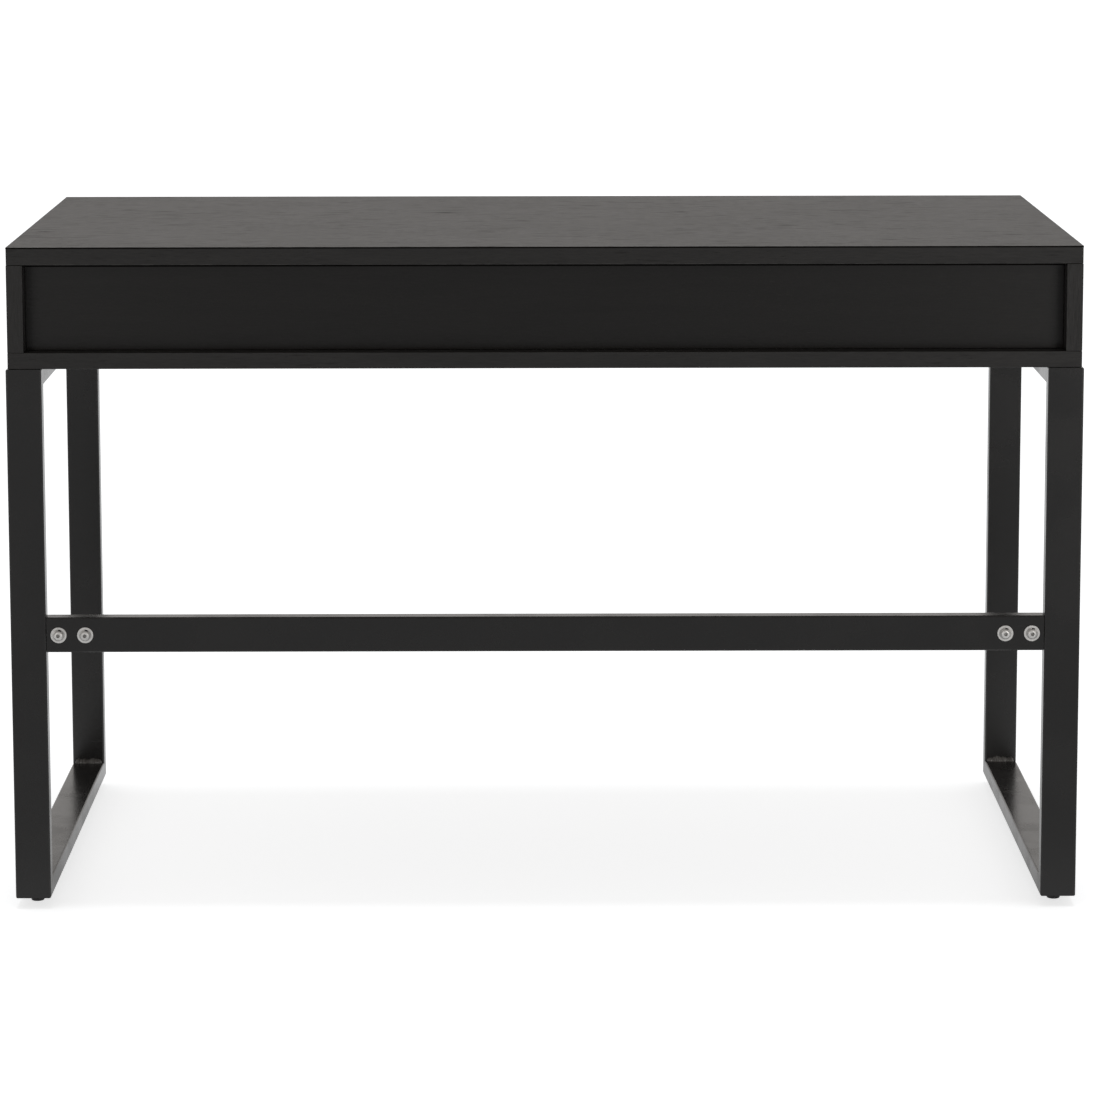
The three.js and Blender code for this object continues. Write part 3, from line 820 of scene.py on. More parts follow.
@dataclass
class CaseBoards:
    """The case: six boards with edging on the sides that show, and a laminate sheet on the top."""

    finishes: Finishes
    band: float = 1.2 * MM  # thickness of the edging
    arris: float = 0.45 * MM
    seam: float = 0.15 * MM  # round where the edging meets the board's face
    sheet: float = 1.7 * MM  # thickness of the top's laminate
    sheet_round: float = 0.3 * MM
    sheet_lip: float = 0.25 * MM  # how far the edging stays behind the sheet
    top_arris: float = 1.0 * MM  # the top edging's lower round, lighter all along as a painted highlight
    bare_strip: float = 4.2 * MM  # along the back panel's top: a dark strip of painted shade under the top board

    def build(self) -> None:
        """Makes every board."""
        long_sides = (Face.BACK, Face.FRONT)
        all_sides = (Face.BACK, Face.FRONT, Face.LEFT, Face.RIGHT)
        self.top_board()
        self.board("bottom_board", all_sides, Axis.X, Axis.X)
        for side in Side:
            self.board(f"{side.label}_side_panel", long_sides, Axis.Y, Axis.Z)
        self.back_panel()
        self.board("centre_partition", (Face.FRONT,), Axis.Y, Axis.Z)

    def board(self, node: str, edged: Sequence[Face], grain: Axis, edge_grain: Axis) -> None:
        """Makes one board with its edging.

        Args:
            node: the board's CAD node.
            edged: the sides that carry edging.
            grain: the direction of the faces' grain.
            edge_grain: the direction of the edging's grain.
        """
        bm = new_shape()
        self.core(bm, *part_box(node), edged)
        laminate = self.finishes.laminate
        stand_in(node, "desk", "case_laminate", laminate[grain], laminate[edge_grain]).place(bm)

    def back_panel(self) -> None:
        """Makes the inset panel: its darker foil is painted shade for its recess, and a dark strip along its
        top is painted shade under the top board.
        """
        low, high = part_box("back_panel")
        bm = new_shape()
        self.core(bm, low, high, ())
        level = high.z - self.bare_strip
        bmesh.ops.bisect_plane(bm, geom=whole(bm), plane_co=(0, 0, level), plane_no=(0, 0, 1))
        # The strip along the top takes the dark cut-edge finish as painted shade under the top board.
        for face in bm.faces:
            if face.calc_center_median().z > level:
                face.material_index = 1
        finishes = (self.finishes.panel, self.finishes.sheet_edge)
        stand_in("back_panel", "desk", "case_laminate", *finishes).place(bm)

    def core(
        self, bm: bmesh.types.BMesh, low: Vector, high: Vector, edged: Sequence[Face], under: float = 0.0
    ) -> None:
        """Adds a board between two corners, with edging on some sides.

        Args:
            bm: the shape.
            low: the board's lowest corner.
            high: its highest corner.
            edged: the sides that carry edging.
            under: the round along the edging's lower outer corner, lighter all along as a painted highlight,
                or 0 for the same round as elsewhere.
        """
        low, high = low.copy(), high.copy()
        for side in edged:
            axis, sign = side.value[0].value, side.value[1]
            band_low, band_high = low.copy(), high.copy()
            if sign > 0:
                high[axis] -= self.band
                band_low[axis] = high[axis]
            else:
                low[axis] += self.band
                band_high[axis] = low[axis]
            before = set(bm.verts)
            verts = block(bm, band_low, band_high, material=1)
            if under:
                outer = band_high[axis] if sign > 0 else band_low[axis]
                lowest = [edge for edge in edges_of(verts) if on_level(edge, axis, outer)
                          and on_level(edge, Axis.Z.value, low.z)]
                # Past 1 the rubbed patches close up: the whole round takes the lighter edge colour, a painted
                # highlight.
                soften(bm, lowest, under, 5, wear_and_highlight=2.2)
                fresh = [vert for vert in bm.verts if vert not in before]
                sharp = set(crisp_edges(bm))
                soften(bm, [edge for edge in edges_of(fresh) if edge in sharp], self.seam, 2)
            else:
                soften(bm, edges_of(verts), min(self.arris, 0.45 * self.band))
        soften(bm, edges_of(block(bm, low, high)), self.seam if edged else self.arris, 2)

    def top_board(self) -> None:
        """Makes the top board: a core with edging, under a laminate sheet whose bare edge is a dark line."""
        low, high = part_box("top_board")
        bm = new_shape()
        core_high = Vector((high.x - self.sheet_lip, high.y - self.sheet_lip, high.z - self.sheet))
        core_low = Vector((low.x + self.sheet_lip, low.y + self.sheet_lip, low.z))
        self.core(bm, core_low, core_high, (Face.BACK, Face.FRONT, Face.LEFT, Face.RIGHT), self.top_arris)
        verts = block(bm, (low.x, low.y, core_high.z), high)
        for face in {face for vert in verts for face in vert.link_faces}:
            if abs(face.normal.z) < 0.5:
                face.material_index = 2
        upper = [edge for edge in edges_of(verts) if all(vert.co.z > core_high.z for vert in edge.verts)]
        soften(bm, upper, self.sheet_round)
        laminate = self.finishes.laminate[Axis.X]
        stand_in("top_board", "desk", "case_laminate", laminate, laminate, self.finishes.sheet_edge).place(bm)


# ---------------------------------------------------------------------------------------------- frames


@dataclass
class SideFrame:
    """One welded side frame: four mitred tubes with a weld bead in each inner corner."""

    finishes: Finishes
    side: Side
    wall: float = 1.5 * MM
    corner: float = 2.0 * MM  # outer corner radius of the tube
    bead_length: float = 34 * MM
    bead_radius: float = 5.4 * MM
    bead_end: float = 0.25  # share of the radius that is left at the bead's ends
    ripples: int = 9
    rings_per_ripple: int = 4
    ripple_rise: float = 0.2
    lump_rise: tuple[float, float] = (0.16, 0.1)  # of the slow and the quick unevenness
    lump_pace: tuple[float, float] = (5.0, 11.0)
    slimness: float = 0.9

    def build(self) -> None:
        """Makes the tubes and the beads."""
        up, back = Vector((0, 0, 1)), Vector((0, -1, 0))
        for part, outward, run in (
            ("back_leg", back, up),
            ("front_leg", -back, up),
            ("bottom_rail", -up, back),
            ("top_rail", up, back),
        ):
            self.mitred_tube(f"{self.side.label}_{part}", outward, run)
        for place in Place:
            for level in ("lower", "upper"):
                self.weld_bead(place, level)

    def mitred_tube(self, node: str, outward: Vector, run: Vector) -> None:
        """Makes one tube of the frame.

        Args:
            node: the tube's CAD node.
            outward: the direction of its outer face.
            run: the direction along it.
        """
        low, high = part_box(node)
        bm = hollow_tube(low, high, run, self.corner, self.wall)
        centre, half = (low + high) / 2, (high - low) / 2
        for end in (-1, 1):
            heel = centre + outward * abs(half.dot(outward)) + run * end * abs(half.dot(run))
            bmesh.ops.bisect_plane(
                bm, geom=whole(bm), plane_co=heel, plane_no=run * end - outward, clear_outer=True
            )
            bmesh.ops.bridge_loops(bm, edges=[edge for edge in bm.edges if edge.is_boundary])
        heal(bm)
        stand_in(node, "desk", "powder_coat", self.finishes.powder).place(bm)

    def weld_bead(self, place: Place, level: str) -> None:
        """Makes a rippled bead along an inner corner of the frame.

        Args:
            place: the leg that the corner is on.
            level: lower or upper, for the rail that it meets.
        """
        leg_low, leg_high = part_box(f"{self.side.label}_{place.label}_leg")
        rail_low, rail_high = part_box(f"{self.side.label}_{'bottom' if level == 'lower' else 'top'}_rail")
        corner_y = leg_high.y if place is Place.BACK else leg_low.y
        corner_z = rail_high.z if level == "lower" else rail_low.z
        centre = Vector(((leg_low.x + leg_high.x) / 2, corner_y, corner_z))
        bm = new_shape()
        bmesh.ops.create_cone(
            bm, cap_ends=True, segments=16, radius1=self.bead_radius, radius2=self.bead_radius,
            depth=self.bead_length,
        )
        along = [edge for edge in bm.edges if abs(edge.verts[0].co.z - edge.verts[1].co.z) > MM]
        bmesh.ops.subdivide_edges(bm, edges=along, cuts=self.ripples * self.rings_per_ripple)
        half = self.bead_length / 2
        start = 1.7 * self.side.value + 0.9 * place.value + (0.6 if level == "upper" else 0.0)
        slow, quick = self.lump_pace
        for vert in bm.verts:
            share = vert.co.z / half
            taper = math.sqrt(max(0.0, 1.0 - abs(share) ** 5)) * (1.0 - self.bead_end) + self.bead_end
            ripple = 1.0 + self.ripple_rise * abs(math.sin(share * self.ripples * math.pi / 2 + start))
            lump = (1.0 + self.lump_rise[0] * math.sin(slow * share + start)
                    + self.lump_rise[1] * math.sin(quick * share + 2 * start))
            vert.co.xy *= taper * ripple * lump * self.slimness
        bmesh.ops.smooth_vert(
            bm, verts=bm.verts[:], factor=0.3, use_axis_x=True, use_axis_y=True, use_axis_z=False
        )
        across = Matrix.Rotation(math.radians(90), 3, "Y")
        bmesh.ops.rotate(bm, cent=(0, 0, 0), matrix=across, verts=bm.verts[:])
        bmesh.ops.translate(bm, vec=centre, verts=bm.verts[:])
        name = f"{self.side.label}_{place.label}_{level}_weld"
        Piece(name, "desk", "powder_coat", (self.finishes.weld,)).place(bm)


def hollow_tube(low: Vector, high: Vector, run: Vector, corner: float, wall: float) -> bmesh.types.BMesh:
    """Makes a square-cut hollow tube.

    Args:
        low: its lowest corner.
        high: its highest corner.
        run: the direction along it.
        corner: the outer corner radius.
        wall: the wall's thickness.

    Returns:
        The shape, closed at its ends by the wall's rim.
    """
    bm = new_shape()
    verts = block(bm, low, high)
    ends = [face for face in bm.faces if abs(face.normal.dot(run)) > 0.5]
    bmesh.ops.delete(bm, geom=ends, context="FACES_ONLY")
    long_edges = [edge for edge in edges_of(verts)
                  if abs((edge.verts[0].co - edge.verts[1].co).normalized().dot(run)) > 0.5]
    soften(bm, long_edges, corner, 5)
    bmesh.ops.solidify(bm, geom=whole(bm), thickness=wall)
    return bm


# ---------------------------------------------------------------------------------------------- stretcher


@dataclass
class BoltShape:
    """A button-head bolt with a hex socket, made about Z with the underside of its head at 0."""

    head_radius: float = 5.25 * MM
    head_height: float = 3.3 * MM
    head_edge: float = 0.9 * MM  # straight part of the head below its dome
    head_chamfer: float = 0.2 * MM
    tip: float = 0.6 * MM  # chamfer of the shank's end
    shank_radius: float = 3.0 * MM
    socket_corner: float = 2.31 * MM  # half the socket's width across its corners
    socket_depth: float = 2.0 * MM
    socket_lip: float = 0.15 * MM  # depth of the socket's chamfer
    socket_narrow: float = 0.97  # the socket's width below its chamfer, over that above it
    sides: int = 48
    dome_steps: int = 7

    def build(self, length: float) -> bmesh.types.BMesh:
        """Makes a bolt.

        Args:
            length: the shank's length below the head.

        Returns:
            The bolt, with its socket in the second material.
        """
        bm = new_shape()
        crown = self.head_radius / 2
        dome = self.head_height - self.head_edge
        profile = [
            (0.0, -length), (self.shank_radius - self.tip, -length), (self.shank_radius, self.tip - length),
            (self.shank_radius, 0.0), (self.head_radius - self.head_chamfer, 0.0),
            (self.head_radius, self.head_chamfer),
        ]
        for step in range(self.dome_steps + 1):
            angle = math.radians(90) * step / self.dome_steps
            radius = crown + (self.head_radius - crown) * math.cos(angle)
            profile.append((radius, self.head_edge + dome * math.sin(angle)))
        turned(bm, profile, self.sides)
        bmesh.ops.remove_doubles(bm, verts=bm.verts[:], dist=TINY)
        rim = [edge for edge in bm.edges if edge.is_boundary]
        self.socket(bm, rim)
        heal(bm)
        return bm

    def socket(self, bm: bmesh.types.BMesh, rim: list[bmesh.types.BMEdge]) -> None:
        """Joins a hexagonal recess, in the second material, to the crown's open rim.

        Args:
            bm: the bolt.
            rim: the edges round the opening in its crown.
        """
        made = bmesh.ops.create_circle(bm, cap_ends=False, segments=6, radius=self.socket_corner)
        bmesh.ops.translate(bm, vec=(0, 0, self.head_height), verts=made["verts"])
        bmesh.ops.subdivide_edges(bm, edges=[e for e in bm.edges if e.is_wire], cuts=self.sides // 6 - 1)
        hexagon = [edge for edge in bm.edges if edge.is_wire]
        bmesh.ops.bridge_loops(bm, edges=rim + hexagon)
        outside = set(bm.faces)
        below = self.socket_depth - self.socket_lip
        for drop, spread in ((self.socket_lip, self.socket_narrow), (below, 1.0)):
            lip = [edge for edge in bm.edges if edge.is_boundary]
            grown = bmesh.ops.extrude_edge_only(bm, edges=lip)["geom"]
            verts = [item for item in grown if isinstance(item, bmesh.types.BMVert)]
            bmesh.ops.translate(bm, vec=(0, 0, -drop), verts=verts)
            bmesh.ops.scale(bm, vec=(spread, spread, 1.0), verts=verts)
        bmesh.ops.holes_fill(bm, edges=[edge for edge in bm.edges if edge.is_boundary], sides=0)
        for face in bm.faces:
            if face not in outside:
                face.material_index = 1


@dataclass
class Stretcher:
    """The tube between the back legs, its welded tabs, and the bolts with their washers."""

    finishes: Finishes
    corner: float = 2.0 * MM
    wall: float = 1.5 * MM
    bolt_length: float = 16 * MM
    bolt_turn: float = math.radians(12)
    flat_hole: float = 3.25 * MM  # radius of the flat washer's hole
    washer_round: float = 0.3 * MM
    seat: float = 6.4 * MM  # radius of the painted shade on the flat washer, under the lock washer
    split: float = math.radians(34)  # opening of the lock washer
    split_turn: float = math.radians(75)  # where the opening lies, from +X
    spring: float = 0.12 * MM  # how far the lock washer's ends stand apart
    spring_hole: float = 3.15 * MM  # radius of its hole
    spring_corner: float = 0.2 * MM
    spring_steps: int = 44

    def build(self) -> None:
        """Makes the tube and every fastener, and dresses the tabs."""
        low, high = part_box("stretcher")
        bm = hollow_tube(low, high, Axis.X.vector, self.corner, self.wall)
        heal(bm)
        stand_in("stretcher", "desk", "powder_coat", self.finishes.powder).place(bm)
        for side in Side:
            dress_node(f"{side.label}_stretcher_tab", self.finishes.powder)
            for place in ("outer", "inner"):
                stem = f"{side.label}_{place}"
                self.flat_washer(f"{stem}_flat_washer")
                self.lock_washer(f"{stem}_lock_washer")
                self.bolt(f"{stem}_bolt")

    def finish(self, bm: bmesh.types.BMesh, node: str, turn: float, *materials: bpy.types.Material) -> None:
        """Aims a fastener out of the desk's back and places it where its node's outer face is.

        Args:
            bm: the fastener about Z, with its outermost face at 0.
            node: the CAD node that it stands for.
            turn: how far it is turned about its axis.
            materials: its finishes.
        """
        low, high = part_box(node)
        spin = Matrix.Rotation(turn, 3, "Z")
        bmesh.ops.rotate(bm, cent=(0, 0, 0), matrix=spin, verts=bm.verts[:])
        aim(bm, Vector((0, -1, 0)), Vector(((low.x + high.x) / 2, low.y, (low.z + high.z) / 2)))
        stand_in(node, "desk", "zinc", *materials).place(bm)

    def flat_washer(self, node: str) -> None:
        """Makes a flat washer with rounded rims, with painted shade where the lock washer bears on it, which
        shows through the lock washer's split.

        Args:
            node: its CAD node.
        """
        low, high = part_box(node)
        inner, outer, under = self.flat_hole, (high.x - low.x) / 2, low.y - high.y
        bm = new_shape()
        section = [(inner, under), (outer, under), (outer, 0.0), (self.seat, 0.0), (inner, 0.0),
                   (inner, under)]
        turned(bm, section, 64)
        heal(bm)
        # The face under the lock washer takes the second finish, painted shade that shows through the split.
        for face in bm.faces:
            if all(vert.co.z > -TINY and vert.co.xy.length < self.seat + TINY for vert in face.verts):
                face.material_index = 1
        soften(bm, crisp_edges(bm), self.washer_round, 3)
        self.finish(bm, node, 0.0, self.finishes.zinc, self.finishes.grime)

    def lock_washer(self, node: str) -> None:
        """Makes a spring washer: a square section wound not quite once round, with its ends apart.

        Args:
            node: its CAD node.
        """
        low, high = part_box(node)
        thick, outer = high.y - low.y - self.spring, (high.x - low.x) / 2
        bm = new_shape()
        block(bm, (self.spring_hole, -thick, -thick - self.spring), (outer, 0.0, -self.spring))
        away = [face for face in bm.faces if face.normal.y < 0.5]
        bmesh.ops.delete(bm, geom=away, context="FACES_KEEP_BOUNDARY")
        bmesh.ops.bevel(
            bm, geom=bm.verts[:], offset=self.spring_corner, offset_type="OFFSET", segments=2, profile=0.5,
            affect="VERTICES", material=-1,
        )
        bmesh.ops.spin(
            bm, geom=whole(bm), cent=(0, 0, 0), axis=(0, 0, 1), dvec=(0, 0, self.spring / self.spring_steps),
            angle=math.tau - self.split, steps=self.spring_steps,
        )
        heal(bm)
        self.finish(bm, node, self.split_turn + self.split / 2, self.finishes.spring)

    def bolt(self, node: str) -> None:
        """Makes a bolt, its head's crown at the node's outer face.

        Args:
            node: its CAD node.
        """
        shape = BoltShape()
        bm = shape.build(self.bolt_length)
        bmesh.ops.translate(bm, vec=(0, 0, -shape.head_height), verts=bm.verts[:])
        self.finish(bm, node, self.bolt_turn, self.finishes.zinc, self.finishes.socket)


def dress_node(node: str, *materials: bpy.types.Material) -> None:
    """Gives a CAD node that stays its finish.

    Args:
        node: the node.
        materials: its finishes.
    """
    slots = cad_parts[node].data.materials
    slots.clear()
    for material in materials:
        slots.append(material)
    LOG.info("%s: kept from the frame, with a new finish", node)


@dataclass
class FrameBolts:
    """The four bolts that hold the case on the side frames, their heads under the top rails."""

    finishes: Finishes

    def build(self) -> None:
        """Makes the bolts."""
        for side in Side:
            for place in Place:
                node = f"{side.label}_frame_{place.label}_bolt"
                low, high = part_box(node)
                shape = BoltShape()
                bm = shape.build(high.z - low.z - shape.head_height)
                head = Vector(((low.x + high.x) / 2, (low.y + high.y) / 2, low.z + shape.head_height))
                aim(bm, Vector((0, 0, -1)), head)
                stand_in(node, "desk", "zinc", self.finishes.zinc, self.finishes.socket).place(bm)


# ---------------------------------------------------------------------------------------------- feet


@dataclass
class LevellingFoot:
    """A screw-in foot: a nylon pad with a hexagonal collar, on a threaded stud."""

    finishes: Finishes
    side: Side
    place: Place
    sole: float = 0.6 * MM  # how far the middle of the pad is off the floor
    pad_level: float = 5 * MM  # the pad's top
    collar_from: float = 4.6 * MM
    collar_height: float = 12.2 * MM
    collar_corner: float = 5.4 * MM
    collar_round: float = 0.5 * MM
    stud_from: float = 9 * MM
    stud_radius: float = 4.0 * MM
    pitch: float = 1.25 * MM
    thread_depth: float = 0.6 * MM

    def build(self) -> None:
        """Makes the foot."""
        node = f"{self.side.label}_{self.place.label}_foot"
        low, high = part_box(node)
        radius = (high.x - low.x) / 2
        bm = new_shape()
        rim = [(3.0, 0.6), (2.2, 0.0), (1.0, 0.0), (0.3, 0.3), (0.0, 1.0), (0.0, 3.2), (0.4, 4.0), (1.2, 4.6)]
        pad = [(0.0, self.sole), *((radius - inset * MM, level * MM) for inset, level in rim),
               (self.collar_corner, self.pad_level), (0.0, self.pad_level)]
        turned(bm, pad, 48)
        heal(bm)
        collar = bmesh.ops.create_cone(
            bm, cap_ends=True, segments=6, radius1=self.collar_corner, radius2=self.collar_corner,
            depth=self.collar_height - self.collar_from,
        )["verts"]
        bmesh.ops.translate(bm, vec=(0, 0, (self.collar_height + self.collar_from) / 2), verts=collar)
        soften(bm, edges_of(collar), self.collar_round, 2)
        root_radius = self.stud_radius - self.thread_depth
        stud = [(0.0, self.stud_from), (root_radius, self.stud_from)]
        turns = int((high.z - self.collar_height) / self.pitch)
        for turn in range(turns):
            root = self.collar_height + turn * self.pitch
            stud.append((root_radius, root))
            stud.append((self.stud_radius, root + 0.45 * self.pitch))
            stud.append((self.stud_radius, root + 0.55 * self.pitch))
        stud += [(root_radius, high.z), (0.0, high.z)]
        turned(bm, stud, 32, material=1)
        bmesh.ops.remove_doubles(bm, verts=bm.verts[:], dist=TINY)
        bmesh.ops.translate(bm, vec=((low.x + high.x) / 2, (low.y + high.y) / 2, low.z), verts=bm.verts[:])
        stand_in(node, node, "foot_plastic", self.finishes.nylon, self.finishes.zinc).place(bm)


# ---------------------------------------------------------------------------------------------- drawers


@dataclass
class Drawer:
    """One drawer: a front with a finger cut-out, and a grooved box."""

    finishes: Finishes
    side: Side
    pull_width: float = 120 * MM
    pull_depth: float = 20 * MM
    pull_corner: float = 10 * MM
    groove_lift: float = 3 * MM
    groove_height: float = 3.6 * MM
    groove_depth: float = 6 * MM
    arris: float = 0.5 * MM
    bottom_arris: float = 0.3 * MM
    front_arris: float = 0.7 * MM
    lock_radius: float = 7.5 * MM  # the disc of a cam fitting
    lock_inset: float = 24 * MM
    lock_levels: tuple[tuple[str, float], ...] = (("lower", 0.3), ("upper", 0.75))  # as shares of the side
    slot_length: float = 4.4 * MM  # of the cross on the disc
    slot_width: float = 1.0 * MM

    @property
    def body(self) -> str:
        """The body that the drawer's pieces ride on."""
        return f"{self.side.label}_drawer"

    def build(self) -> None:
        """Makes the front, the box and its fittings."""
        self.front()
        for place in Side:
            self.box_side(place)
            self.cam_locks(place)
        for part, grain, arris in (("back", Axis.X, self.arris), ("bottom", Axis.Y, self.bottom_arris)):
            node = f"{self.body}_{part}"
            bm = new_shape()
            soften(bm, edges_of(block(bm, *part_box(node))), arris)
            stand_in(node, self.body, "drawer_board", self.finishes.drawer[grain]).place(bm)

    def front(self) -> None:
        """Makes the drawer front: its outline pushed back to a board, the cut-out's corners rounded."""
        low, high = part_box(f"{self.body}_front")
        middle, half = (low.x + high.x) / 2, self.pull_width / 2
        dip = high.z - self.pull_depth
        outline = [(low.x, low.z), (high.x, low.z), (high.x, high.z), (middle + half, high.z),
                   (middle + half, dip), (middle - half, dip), (middle - half, high.z), (low.x, high.z)]
        bm = new_shape()
        pushed_out(bm, outline, high.y, low.y)
        inner = [edge for edge in bm.edges if on_level(edge, Axis.Z.value, dip)
                 and abs(edge.verts[0].co.y - edge.verts[1].co.y) > MM]
        bmesh.ops.bevel(
            bm, geom=inner, offset=self.pull_corner, offset_type="OFFSET", segments=10, profile=0.5,
            affect="EDGES", material=-1,
        )
        for face in bm.faces:
            if abs(face.normal.y) < 0.5:
                face.material_index = 1
        soften(bm, crisp_edges(bm), self.front_arris)
        laminate = self.finishes.laminate[Axis.X]
        stand_in(f"{self.body}_front", self.body, "case_laminate", laminate, laminate).place(bm)

    def box_side(self, place: Side) -> None:
        """Makes one side of the box, with the groove for the drawer's bottom along its inner face.

        Args:
            place: which side of the drawer it is.
        """
        node = f"{self.body}_{place.label}_side"
        low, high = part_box(node)
        outer, inner = (low.x, high.x) if place is Side.LEFT else (high.x, low.x)
        deep = inner + place.value * self.groove_depth
        sill = low.z + self.groove_lift
        lid = sill + self.groove_height
        section = [(outer, low.z), (inner, low.z), (inner, sill), (deep, sill), (deep, lid), (inner, lid),
                   (inner, high.z), (outer, high.z)]
        bm = new_shape()
        pushed_out(bm, section, low.y, high.y)
        ends = (low.z, high.z)
        outside = [edge for edge in crisp_edges(bm)
                   if all(min(abs(vert.co.z - level) for level in ends) < TINY for vert in edge.verts)]
        soften(bm, outside, self.arris)
        stand_in(node, self.body, "drawer_board", self.finishes.drawer[Axis.Y]).place(bm)

    def cam_locks(self, place: Side) -> None:
        """Makes the two cam discs that draw a box side up to the front, set into the side's inner face.

        Args:
            place: which side of the drawer they are on.
        """
        low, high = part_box(f"{self.body}_{place.label}_side")
        inner = high.x if place is Side.LEFT else low.x
        rim = [(0.0, -0.4), (0.0, 0.25), (0.3, 0.5), (1.3, 0.5), (1.6, 0.2)]
        disc = [(0.0, -0.4 * MM), *((self.lock_radius - inset * MM, level * MM) for inset, level in rim),
                (0.0, 0.2 * MM)]
        for level, share in self.lock_levels:
            bm = new_shape()
            turned(bm, disc, 36)
            heal(bm)
            for size in ((self.slot_width, self.slot_length), (self.slot_length, self.slot_width)):
                corner = Vector((size[0] / 2, size[1] / 2, 0.0))
                verts = block(bm, Vector((0, 0, 0.1 * MM)) - corner, Vector((0, 0, 0.45 * MM)) + corner, 1)
                soften(bm, edges_of(verts), 0.08 * MM, 2)
            spot = Vector((inner, high.y - self.lock_inset, low.z + share * (high.z - low.z)))
            aim(bm, -place.value * Axis.X.vector, spot)
            name = f"{self.body}_{place.label}_{level}_cam_lock"
            Piece(name, self.body, "zinc", (self.finishes.zinc, self.finishes.nylon)).place(bm)


@dataclass
class SlideSet:
    """A ball-bearing slide in three members, with its ball cages, stop and screws."""

    finishes: Finishes
    drawer: Side
    place: Side
    steel: float = 1.2 * MM
    bend: float = 1.4 * MM  # outer radius of a member's bends
    ball_radius: float = 1.5 * MM
    ball_pitch: float = 11 * MM
    cage_balls: int = 9
    outer_cage_from: float = 0.06  # where each cage begins, as a share of the inner member's length
    inner_cage_from: float = 0.62
    strip_width: float = 3.8 * MM
    strip_thickness: float = 0.6 * MM
    screw_shares: tuple[float, ...] = (0.08, 0.5, 0.92)
    screw_length: float = 1.2 * MM

    def build(self) -> None:
        """Makes the members, the cages and the screws."""
        stem = f"{self.drawer.label}_drawer_{self.place.label}_slide"
        bodies = {"cabinet": "desk", "middle": f"{stem}_middle", "drawer": f"{self.drawer.label}_drawer"}
        for member, body in bodies.items():
            web_at_wall = member != "drawer"
            self.member(f"{stem}_{member}", body, web_at_wall)
        middle = bodies["middle"]
        self.cage(stem, "outer", f"{stem}_cabinet", f"{stem}_middle", middle, self.outer_cage_from)
        self.cage(stem, "inner", f"{stem}_middle", f"{stem}_drawer", middle, self.inner_cage_from)
        self.screws(f"{stem}_cabinet", "desk")

    def member(self, node: str, body: str, web_at_wall: bool) -> None:
        """Makes one rolled member: a bent strip with its lips, given the steel's thickness.

        Args:
            node: its CAD node.
            body: the body that it rides on.
            web_at_wall: whether its flat web is on the wall's side and not on the drawer's.
        """
        low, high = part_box(node)
        wall_first = self.place is Side.LEFT
        web, lip = (low.x, high.x) if wall_first == web_at_wall else (high.x, low.x)
        bm = new_shape()
        path = [(lip, low.z), (web, low.z), (web, high.z), (lip, high.z)]
        verts = [bm.verts.new((x, low.y, z)) for x, z in path]
        edges = [bm.edges.new(pair) for pair in zip(verts, verts[1:])]
        grown = bmesh.ops.extrude_edge_only(bm, edges=edges)["geom"]
        pushed = [item for item in grown if isinstance(item, bmesh.types.BMVert)]
        bmesh.ops.translate(bm, vec=(0, high.y - low.y, 0), verts=pushed)
        centre = Vector(((web + 3 * lip) / 4, (low.y + high.y) / 2, (low.z + high.z) / 2))
        for face in bm.faces:
            if (face.calc_center_median() - centre).dot(face.normal) < 0:
                face.normal_flip()
        bends = [edge for edge in bm.edges if len(edge.link_faces) == 2]
        soften(bm, bends, self.bend, 4)
        bmesh.ops.solidify(bm, geom=whole(bm), thickness=self.steel)
        heal(bm)
        stand_in(node, body, "slide_zinc", self.finishes.slide).place(bm)

    def cage(self, stem: str, label: str, around: str, within: str, body: str, start: float) -> None:
        """Makes a ball cage: an upper and a lower strip of balls between two members.

        Args:
            stem: the slide's name.
            label: outer or inner, for the gap that the cage is in.
            around: the node of the outer member.
            within: the node of the inner member.
            body: the body that it rides on.
            start: where it begins, as a share of the inner member's length.
        """
        outer_low, outer_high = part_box(around)
        inner_low, inner_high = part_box(within)
        length = self.ball_pitch * self.cage_balls
        from_y = inner_low.y + start * (inner_high.y - inner_low.y)
        depth = (max(outer_low.x, inner_low.x) + min(outer_high.x, inner_high.x)) / 2
        bm = new_shape()
        for sign, outer, inner in ((-1, outer_low.z, inner_low.z), (1, outer_high.z, inner_high.z)):
            level = (outer - sign * self.steel + inner) / 2
            near = Vector((depth, from_y, level))
            half = Vector((self.strip_width, 0.0, self.strip_thickness)) / 2
            strip = block(bm, near - half, near + half + length * Axis.Y.vector)
            soften(bm, edges_of(strip), 0.12 * MM, 2)
            for ball in range(self.cage_balls):
                spot = Vector((depth, from_y + (ball + 0.5) * self.ball_pitch, level))
                made = bmesh.ops.create_uvsphere(
                    bm, u_segments=12, v_segments=8, radius=self.ball_radius
                )["verts"]
                bmesh.ops.translate(bm, vec=spot, verts=made)
                for face in {face for vert in made for face in vert.link_faces}:
                    face.material_index = 1
        materials = (self.finishes.slide, self.finishes.ball)
        Piece(f"{stem}_{label}_ball_cage", body, "slide_zinc", materials).place(bm)

    def screws(self, node: str, body: str) -> None:
        """Makes the small screws that hold the cabinet member on its wall.

        Args:
            node: the cabinet member's node.
            body: the body that they ride on.
        """
        low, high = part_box(node)
        out = 1 if self.place is Side.LEFT else -1
        face = (low.x if out > 0 else high.x) + out * self.steel
        shape = BoltShape(
            head_radius=3.4 * MM, head_height=1.7 * MM, head_edge=0.4 * MM, shank_radius=1.6 * MM,
            socket_corner=1.5 * MM, socket_depth=0.9 * MM, sides=24, dome_steps=4,
        )
        materials = (self.finishes.zinc, self.finishes.socket)
        for number, share in enumerate(self.screw_shares, 1):
            bm = shape.build(self.screw_length)
            spot = Vector((face, low.y + share * (high.y - low.y), (low.z + high.z) / 2))
            aim(bm, out * Axis.X.vector, spot)
            Piece(f"{node}_screw_{number}", body, "zinc", materials).place(bm)


# ---------------------------------------------------------------------------------------------- studio


